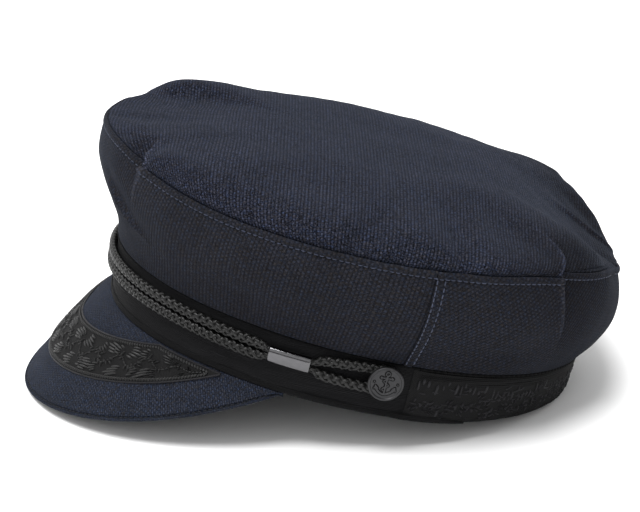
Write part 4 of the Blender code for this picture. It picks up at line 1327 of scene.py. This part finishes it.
def lace_embroidery():
    """The strip's edge cords, its rope-like border rows, and the vine between them."""
    build = Build()
    share = np.linspace(-LACE_END * 0.998, LACE_END * 0.998, 700)
    outer, inner = lace_edges(share)
    wide_enough = (outer - inner > ROPE_LEAST_STRIP).astype(float)
    for line, sign in ((outer, -1), (inner, 1)):
        path, normal = lace_surface(share, line + sign * LACE_CORD_IN, LACE_CORD_LIFT)
        tube(build, path, normal, LACE_CORD, LACE_CORD * 1.1, group=1)
        near, far = line + sign * ROPE_NEAR, line + sign * ROPE_FAR
        metres = lengths(visor_point(share, near, 0.0))
        starts = np.arange(MM, metres[-1] - 2 * MM, ROPE_PITCH)
        at, later = (np.interp(starts + run, metres, share) for run in (0, ROPE_LENGTH))
        kept = np.interp(at, share, wide_enough) > 0.5
        at, later = at[kept], later[kept]
        start, facing = lace_surface(at, np.interp(at, share, near), LACE_TOP)
        end, _ = lace_surface(later, np.interp(later, share, far), LACE_TOP)
        stitches(build, start, end, facing, ROPE_WIDTH, ROPE_HEIGHT)
    bars = vine(LACE_LENGTH, lambda x: float(lace_strip(x)[2]) - VINE_CLEAR, VINE_TURN, VINE_SEED)
    lay(build, bars, lace_place, lace_keep)
    build.finish("lace_embroidery", [SILK, DULL_SILK], "black_embroidery")


# The chin cord, its slides and its buttons
BRAID_PITCH, BRAID_CORE, YARN_RADIUS, BRAID_WAVE = 0.0104, 0.00150, 0.00066, 0.00030
YARN_WIDER, YARN_FLATTER, YARNS_EACH_WAY = 1.42, 0.85, 3
CORD_STEP, YARN_SIDES, CORD_EVENINGS, CORD_SHARP = 0.00042, 8, 6, 80.0
SLIDE_ROUNDNESS, SLIDE_SIDES, SLIDE_WORN, SLIDE_DENT = 2.5, 48, 0.00016, 0.00010


def squeeze(angle):
    """1 inside the slide, fading to 0 within a few degrees of its ends."""
    half = band_degrees(SLIDE_LENGTH / 2, SLIDE_ANGLE)
    return smooth(1 - (np.abs(angle - SLIDE_ANGLE) - half) / CORD_SQUEEZE_FADE)


def cord_half_spacing(angle):
    opening = smooth((angle - SLIDE_ANGLE) / CORD_LOOP_SPREAD)
    free = blend(CORD_FRONT_SPACING / 2, CORD_LOOP_RADIUS, opening)
    return blend(free, CORD_SQUEEZED_SPACING / 2, squeeze(angle))


def cord_middle(angle):
    return MM * table_value(CORD_ROWS, 1, half_angle(angle))


def cord_line():
    """(angles, heights) round the whole loop: along the left side, then back along the right."""
    angles = np.linspace(0, BUTTON_ANGLE, 500)
    lower, upper = (
        vectors(angles, cord_middle(angles) + side * cord_half_spacing(angles)) for side in (-1, 1)
    )
    swing = np.radians(np.linspace(-90, 90, 60))
    ahead = band_degrees(CORD_LOOP_RADIUS * np.cos(swing), BUTTON_ANGLE)
    turn = vectors(BUTTON_ANGLE + ahead, BUTTON_HEIGHT + CORD_LOOP_RADIUS * np.sin(swing))
    left = np.concatenate((lower, turn[1:-1], upper[::-1]))
    return np.concatenate((left, left[-2:0:-1] * (-1, 1))).T


def cord_braid():
    angle, height = cord_line()
    squeezed = squeeze(np.abs(angle))
    outward = GAP + blend(CORD_HALF_THICKNESS, SLIDE_DEPTH / 2, squeezed)
    rough = band_point(angle, outward, height)
    metres = lengths(np.concatenate((rough, rough[:1])))
    count = round(metres[-1] / CORD_STEP)
    even = np.arange(count) * metres[-1] / count

    def resample(values):
        return at_places(even, metres, np.concatenate((values, values[:1])))

    centre = resample(rough)
    for _ in range(CORD_EVENINGS):
        centre = (np.roll(centre, 1, 0) + 2 * centre + np.roll(centre, -1, 0)) / 4
    facing = unit(resample(band_normal(angle)))
    tight = resample(vectors(squeezed, 0, 0))[:, 0]
    wide = unit(np.cross(unit(np.roll(centre, -1, 0) - np.roll(centre, 1, 0)), facing))
    free_radius = BRAID_CORE + YARN_RADIUS + BRAID_WAVE / 2
    tall = blend(CORD_HALF_HEIGHT, CORD_SQUEEZED_RADIUS, tight) / free_radius
    thick = blend(CORD_HALF_THICKNESS, CORD_SQUEEZED_RADIUS, tight) / free_radius
    phase = math.tau * even / metres[-1] * round(metres[-1] / BRAID_PITCH)
    turn = math.tau * np.arange(YARN_SIDES) / YARN_SIDES
    size = YARN_RADIUS * (tall + thick)[:, None] / 2
    across, above = size * YARN_WIDER * np.cos(turn), size * YARN_FLATTER * np.sin(turn)
    weave = vectors(even[:, None], 0.0008 * turn)
    build = Build()
    for way in (1, -1):
        for yarn in range(YARNS_EACH_WAY):
            theta = way * phase + math.tau * yarn / YARNS_EACH_WAY
            radius = BRAID_CORE + way * BRAID_WAVE * np.cos(YARNS_EACH_WAY * phase)
            ray = scaled(wide, tall * np.cos(theta)) + scaled(facing, thick * np.sin(theta))
            spine = centre + scaled(ray, radius)
            run = unit(np.roll(spine, -1, 0) - np.roll(spine, 1, 0))
            out = unit(ray)
            out = unit(out - scaled(run, (out * run).sum(axis=-1)))
            side = np.cross(run, out)
            points = spine[:, None] + scaled(side[:, None], across) + scaled(out[:, None], above)
            build.grid(points, weave, True)
    core = 0.9 * BRAID_CORE
    tube(build, centre[::3], facing[::3], core * tall[::3], core * thick[::3], 6, True)
    build.finish("cord_braid", [YARN], "black_cord", "chin_cord", sharp=CORD_SHARP)


def flattened_tube(height, depth):
    """(up, out) of a flattened tube's outline: an oval with fuller sides."""
    turn, power = around(SLIDE_SIDES), 2 / SLIDE_ROUNDNESS
    return height / 2 * powered(np.sin(turn), power), depth / 2 * powered(np.cos(turn), power)


def cord_slide(name, side):
    half = float(band_degrees(SLIDE_LENGTH / 2, SLIDE_ANGLE))
    stations = np.array((-1, -0.985, -0.95, *np.linspace(-0.88, 0.88, 25), 0.95, 0.985, 1))
    worn = SLIDE_WORN * rounded(1 - np.abs(stations), 0.05) / 0.05
    dents = SLIDE_DENT * np.sin(2.3 * stations + 0.6)
    outside = list(zip(stations, worn, dents))
    inside = list(zip(stations, SLIDE_WALL - worn / 2, 0 * dents))
    rings = []
    for station, inset, dent in outside + inside[::-1]:
        up, out = flattened_tube(SLIDE_HEIGHT - 2 * inset, SLIDE_DEPTH - 2 * inset)
        angle = np.full(SLIDE_SIDES, SLIDE_ANGLE + half * station)
        outward = GAP + SLIDE_DEPTH / 2 + out * (1 - dent / SLIDE_DEPTH)
        rings.append(band_point(angle, outward, cord_middle(angle) + up) * (side, 1, 1))
    along = np.concatenate((stations, stations[::-1])) * SLIDE_LENGTH / 2
    weave = vectors(along[:, None], np.arange(SLIDE_SIDES) * 0.0006)
    shell(name + "_metal", SATIN, "satin_metal", name, np.array(rings), weave, BAND_SHARP, True)


# The anchor on the button, in mm from the disc's middle: strokes of (x0, y0, x1, y1, half-width).
ANCHOR_STROKES = (
    (0, 3.5, 0, -4.3, 0.34), (-2.1, 2.55, 2.1, 2.55, 0.30), (-2.3, 2.55, -2.1, 2.55, 0.48),
    (2.3, 2.55, 2.1, 2.55, 0.48),
)
# The ring's (x, y, radius, wire), the arm's (half-width, top, low, wire) and its two barbs' ends from
# its tip with their wires, the rope's (sway, top, low, wire), and the dots' (x, y, radius).
ANCHOR_RING, ANCHOR_ARM = (0, 4.35, 0.78, 0.24), (3.9, -1.7, -4.35, 0.42)
ANCHOR_BARBS = ((-0.95, -0.35, 0.30), (0.40, -0.75, 0.26))
ANCHOR_ROPE, ANCHOR_DOTS = (1.15, 2.1, -3.2, 0.22), ((-4.75, 0.45, 0.30), (4.75, 0.45, 0.30))
ANCHOR_RISE, DISC_RIM, DISC_DISH, BUTTON_SIDES = 0.00030, 0.00075, 0.00018, 168


def anchor_distance(x, y):
    """Distance in mm from the anchor's outline, below 0 inside it."""
    strokes = list(ANCHOR_STROKES)
    wide, arm_top, arm_low, thick = ANCHOR_ARM
    arm = [(wide * bend, blend(arm_low, arm_top, bend * bend)) for bend in np.linspace(-1, 1, 17)]
    strokes += [(*a, *b, thick) for a, b in zip(arm, arm[1:])]
    for sign in (1, -1):
        for barb_x, barb_y, wire in ANCHOR_BARBS:
            strokes.append((sign * wide, arm_top + 0.5, sign * (wide + barb_x), arm_top + barb_y, wire))
    sway, top, low, wire = ANCHOR_ROPE
    drops = np.linspace(0, 1, 25)
    rope = [(-sway * math.sin(3 * math.pi * drop), blend(top, low, drop)) for drop in drops]
    strokes += [(*a, *b, wire) for a, b in zip(rope, rope[1:])]
    ring_x, ring_y, ring_radius, ring_wire = ANCHOR_RING
    best = np.abs(np.hypot(x - ring_x, y - ring_y) - ring_radius) - ring_wire
    for x0, y0, x1, y1, radius in strokes:
        run_x, run_y = x1 - x0, y1 - y0
        part = np.clip(((x - x0) * run_x + (y - y0) * run_y) / (run_x**2 + run_y**2), 0, 1)
        best = np.minimum(best, np.hypot(x - x0 - part * run_x, y - y0 - part * run_y) - radius)
    for dot_x, dot_y, radius in ANCHOR_DOTS:
        best = np.minimum(best, np.hypot(x - dot_x, y - dot_y) - radius)
    return best


def anchor_button(name, side):
    back = 3 * GAP + 2 * CORD_HALF_THICKNESS
    front = back + BUTTON_THICKNESS
    turn = math.tau * np.arange(BUTTON_SIDES) / BUTTON_SIDES
    radius = (np.linspace(0.004, 1, 58) * (BUTTON_RADIUS - 0.0007))[:, None]
    away = anchor_distance(radius * np.sin(turn) / MM, radius * np.cos(turn) / MM)
    raised = 1 - smooth((away + 0.10) / 0.28)
    recess = smooth((away + 0.02) / 0.14) * (1 - smooth((away - 0.16) / 0.34))
    rim = smooth(1 - (BUTTON_RADIUS - radius - DISC_RIM) / 0.0005)
    height = front - ANCHOR_RISE - DISC_DISH * (1 - rim)
    height = height + ANCHOR_RISE * np.maximum(raised, rim) - 0.00016 * recess * (1 - rim)
    stain = np.clip(recess * 0.95 * (1 - rim), 0, 1)
    # The rolled edge, the back and the shank. Columns: radius and distance from the band.
    rest = np.array((
        (BUTTON_RADIUS - 0.0004, front - 0.00006), (BUTTON_RADIUS - 0.00012, front - 0.00030),
        (BUTTON_RADIUS, front - 0.00065), (BUTTON_RADIUS, back + 0.0006),
        (BUTTON_RADIUS - 0.00012, back + 0.00022), (BUTTON_RADIUS - 0.0005, back),
        (SHANK_RADIUS + 0.0004, back), (SHANK_RADIUS, back - 0.0003), (SHANK_RADIUS, GAP),
        (SHANK_RADIUS * 0.4, GAP),
    ))
    radius = np.concatenate((radius, rest[:, :1]))
    height = np.concatenate((height, rest[:, 1:] * np.ones(BUTTON_SIDES)))
    stain = np.concatenate((stain, np.zeros((len(rest), BUTTON_SIDES))))
    x, y = radius * np.sin(turn), radius * np.cos(turn)
    outward = band_normal(BUTTON_ANGLE) * (side, 1, 1)
    seat = band_point(BUTTON_ANGLE, 0.0, BUTTON_HEIGHT) * (side, 1, 1)
    upward = np.array((0.0, 0.0, 1.0))
    points = seat + scaled(np.cross(upward, outward), x) + scaled(upward, y) + scaled(outward, height)
    tips = np.stack((seat + outward * height[0].mean(), seat + outward * GAP))
    weave = vectors(x, y, stain)
    shell(name + "_anchor", GUNMETAL, "dark_button_metal", name, points, weave, BAND_SHARP, tips=tips)


crown_top()
side_panel("panel_front_cloth", "panel_front", -SIDE_SEAM_ANGLE, SIDE_SEAM_ANGLE, 4.0)
side_panel("panel_back_cloth", "panel_back", SIDE_SEAM_ANGLE, 360 - SIDE_SEAM_ANGLE, 45.0)
crown_stitching()
band_shell()
band_edging()
foot_tape()
ribbon_ground()
ribbon_embroidery()
visor_board()
visor_stitching()
lace_ground()
lace_embroidery()
cord_braid()
for side_sign, side_name in ((1, "left"), (-1, "right")):
    cord_slide("cord_slide_" + side_name, side_sign)
    anchor_button("button_" + side_name, side_sign)

# Floor, light and camera
FLOOR_HALF, FLOOR_WHITE = 3.0, 0.97
# The studio's light: on both sides, on the far side, in front and everywhere, and how it fades
# towards the horizon; then the sun's strength, width in degrees and direction.
WORLD_SIDES, WORLD_FAR, WORLD_FRONT, WORLD_LEAST = 1.32, 0.60, 0.55, 0.12
WORLD_LOW, WORLD_START = 0.33, -0.10
SUN_LIGHT, SUN_SIZE, SUN_FROM = 3.6, 30.0, (0.22, -0.20, 1.0)
# Camera: direction and distance from the cap's own origin, in degrees and metres; focal length and
# the cap's origin in the picture, in pixels of a 640 x 512 frame.
CAMERA_AZIMUTH, CAMERA_ELEVATION, CAMERA_DISTANCE = 88.96, 22.49, 0.75
FOCAL_PIXELS, ORIGIN_PIXEL = 1691.1, (341.19, 325.31)
FRAME_WIDTH, FRAME_HEIGHT = 640, 512


def floor():
    mesh = bpy.data.meshes.new("floor")
    corners = [(x * FLOOR_HALF, y * FLOOR_HALF, 0) for x, y in ((-1, -1), (1, -1), (1, 1), (-1, 1))]
    mesh.from_pydata(corners, [], [(0, 1, 2, 3)])
    finish = Finish("white_floor", 0.7, 0.2)
    finish.set(Base_Color=(FLOOR_WHITE, FLOOR_WHITE, FLOOR_WHITE))
    mesh.materials.append(finish.material)
    add_object("floor", mesh)


def lights():
    """A soft high light from the front, and a studio that is brighter on that side."""
    data = bpy.data.lights.new("overhead", "SUN")
    data.energy, data.angle = SUN_LIGHT, math.radians(SUN_SIZE)
    made = add_object("overhead", data)
    made.location = SUN_FROM
    made.rotation_euler = (-Vector(SUN_FROM)).to_track_quat("-Z", "Y").to_euler()
    world = bpy.data.worlds.new("studio")
    tree = Tree(world, "Background")
    x, y, z = tree.node("SeparateXYZ", (tree.node("TexCoord", ())[0],))
    sides = x.math("ABSOLUTE") * WORLD_SIDES + WORLD_LEAST
    front = (y * -WORLD_FRONT).math("MAXIMUM", 0.0)
    far = ((y * 0.6 + x) * -WORLD_FAR).math("MAXIMUM", 0.0)
    above = (z * (1 / WORLD_LOW) + WORLD_START).math("MAXIMUM", 0.0).math("MINIMUM", 1.0)
    tree.set(Color=(1.0, 1.0, 1.0), Strength=(sides + front + far) * above)
    bpy.context.scene.world = world


def camera():
    azimuth, elevation = math.radians(CAMERA_AZIMUTH), math.radians(CAMERA_ELEVATION)
    level = Vector((math.sin(azimuth), -math.cos(azimuth), 0))
    out = level * math.cos(elevation) + Vector((0, 0, math.sin(elevation)))
    right = Vector((math.cos(azimuth), math.sin(azimuth), 0))
    across = (FRAME_WIDTH / 2 - ORIGIN_PIXEL[0]) / FOCAL_PIXELS
    upwards = (FRAME_HEIGHT / 2 - ORIGIN_PIXEL[1]) / FOCAL_PIXELS
    aim = -out + right * across - out.cross(right) * upwards
    data = bpy.data.cameras.new("camera")
    data.sensor_width = 36.0
    data.lens = FOCAL_PIXELS * data.sensor_width / FRAME_WIDTH
    made = add_object("camera", data)
    made.location = Vector(LOCATION) + out * CAMERA_DISTANCE
    made.rotation_euler = aim.to_track_quat("-Z", "Y").to_euler()
    bpy.context.scene.camera = made


floor()
lights()
camera()
bpy.context.scene.view_settings.view_transform = "Standard"


bpy.context.view_layer.update()
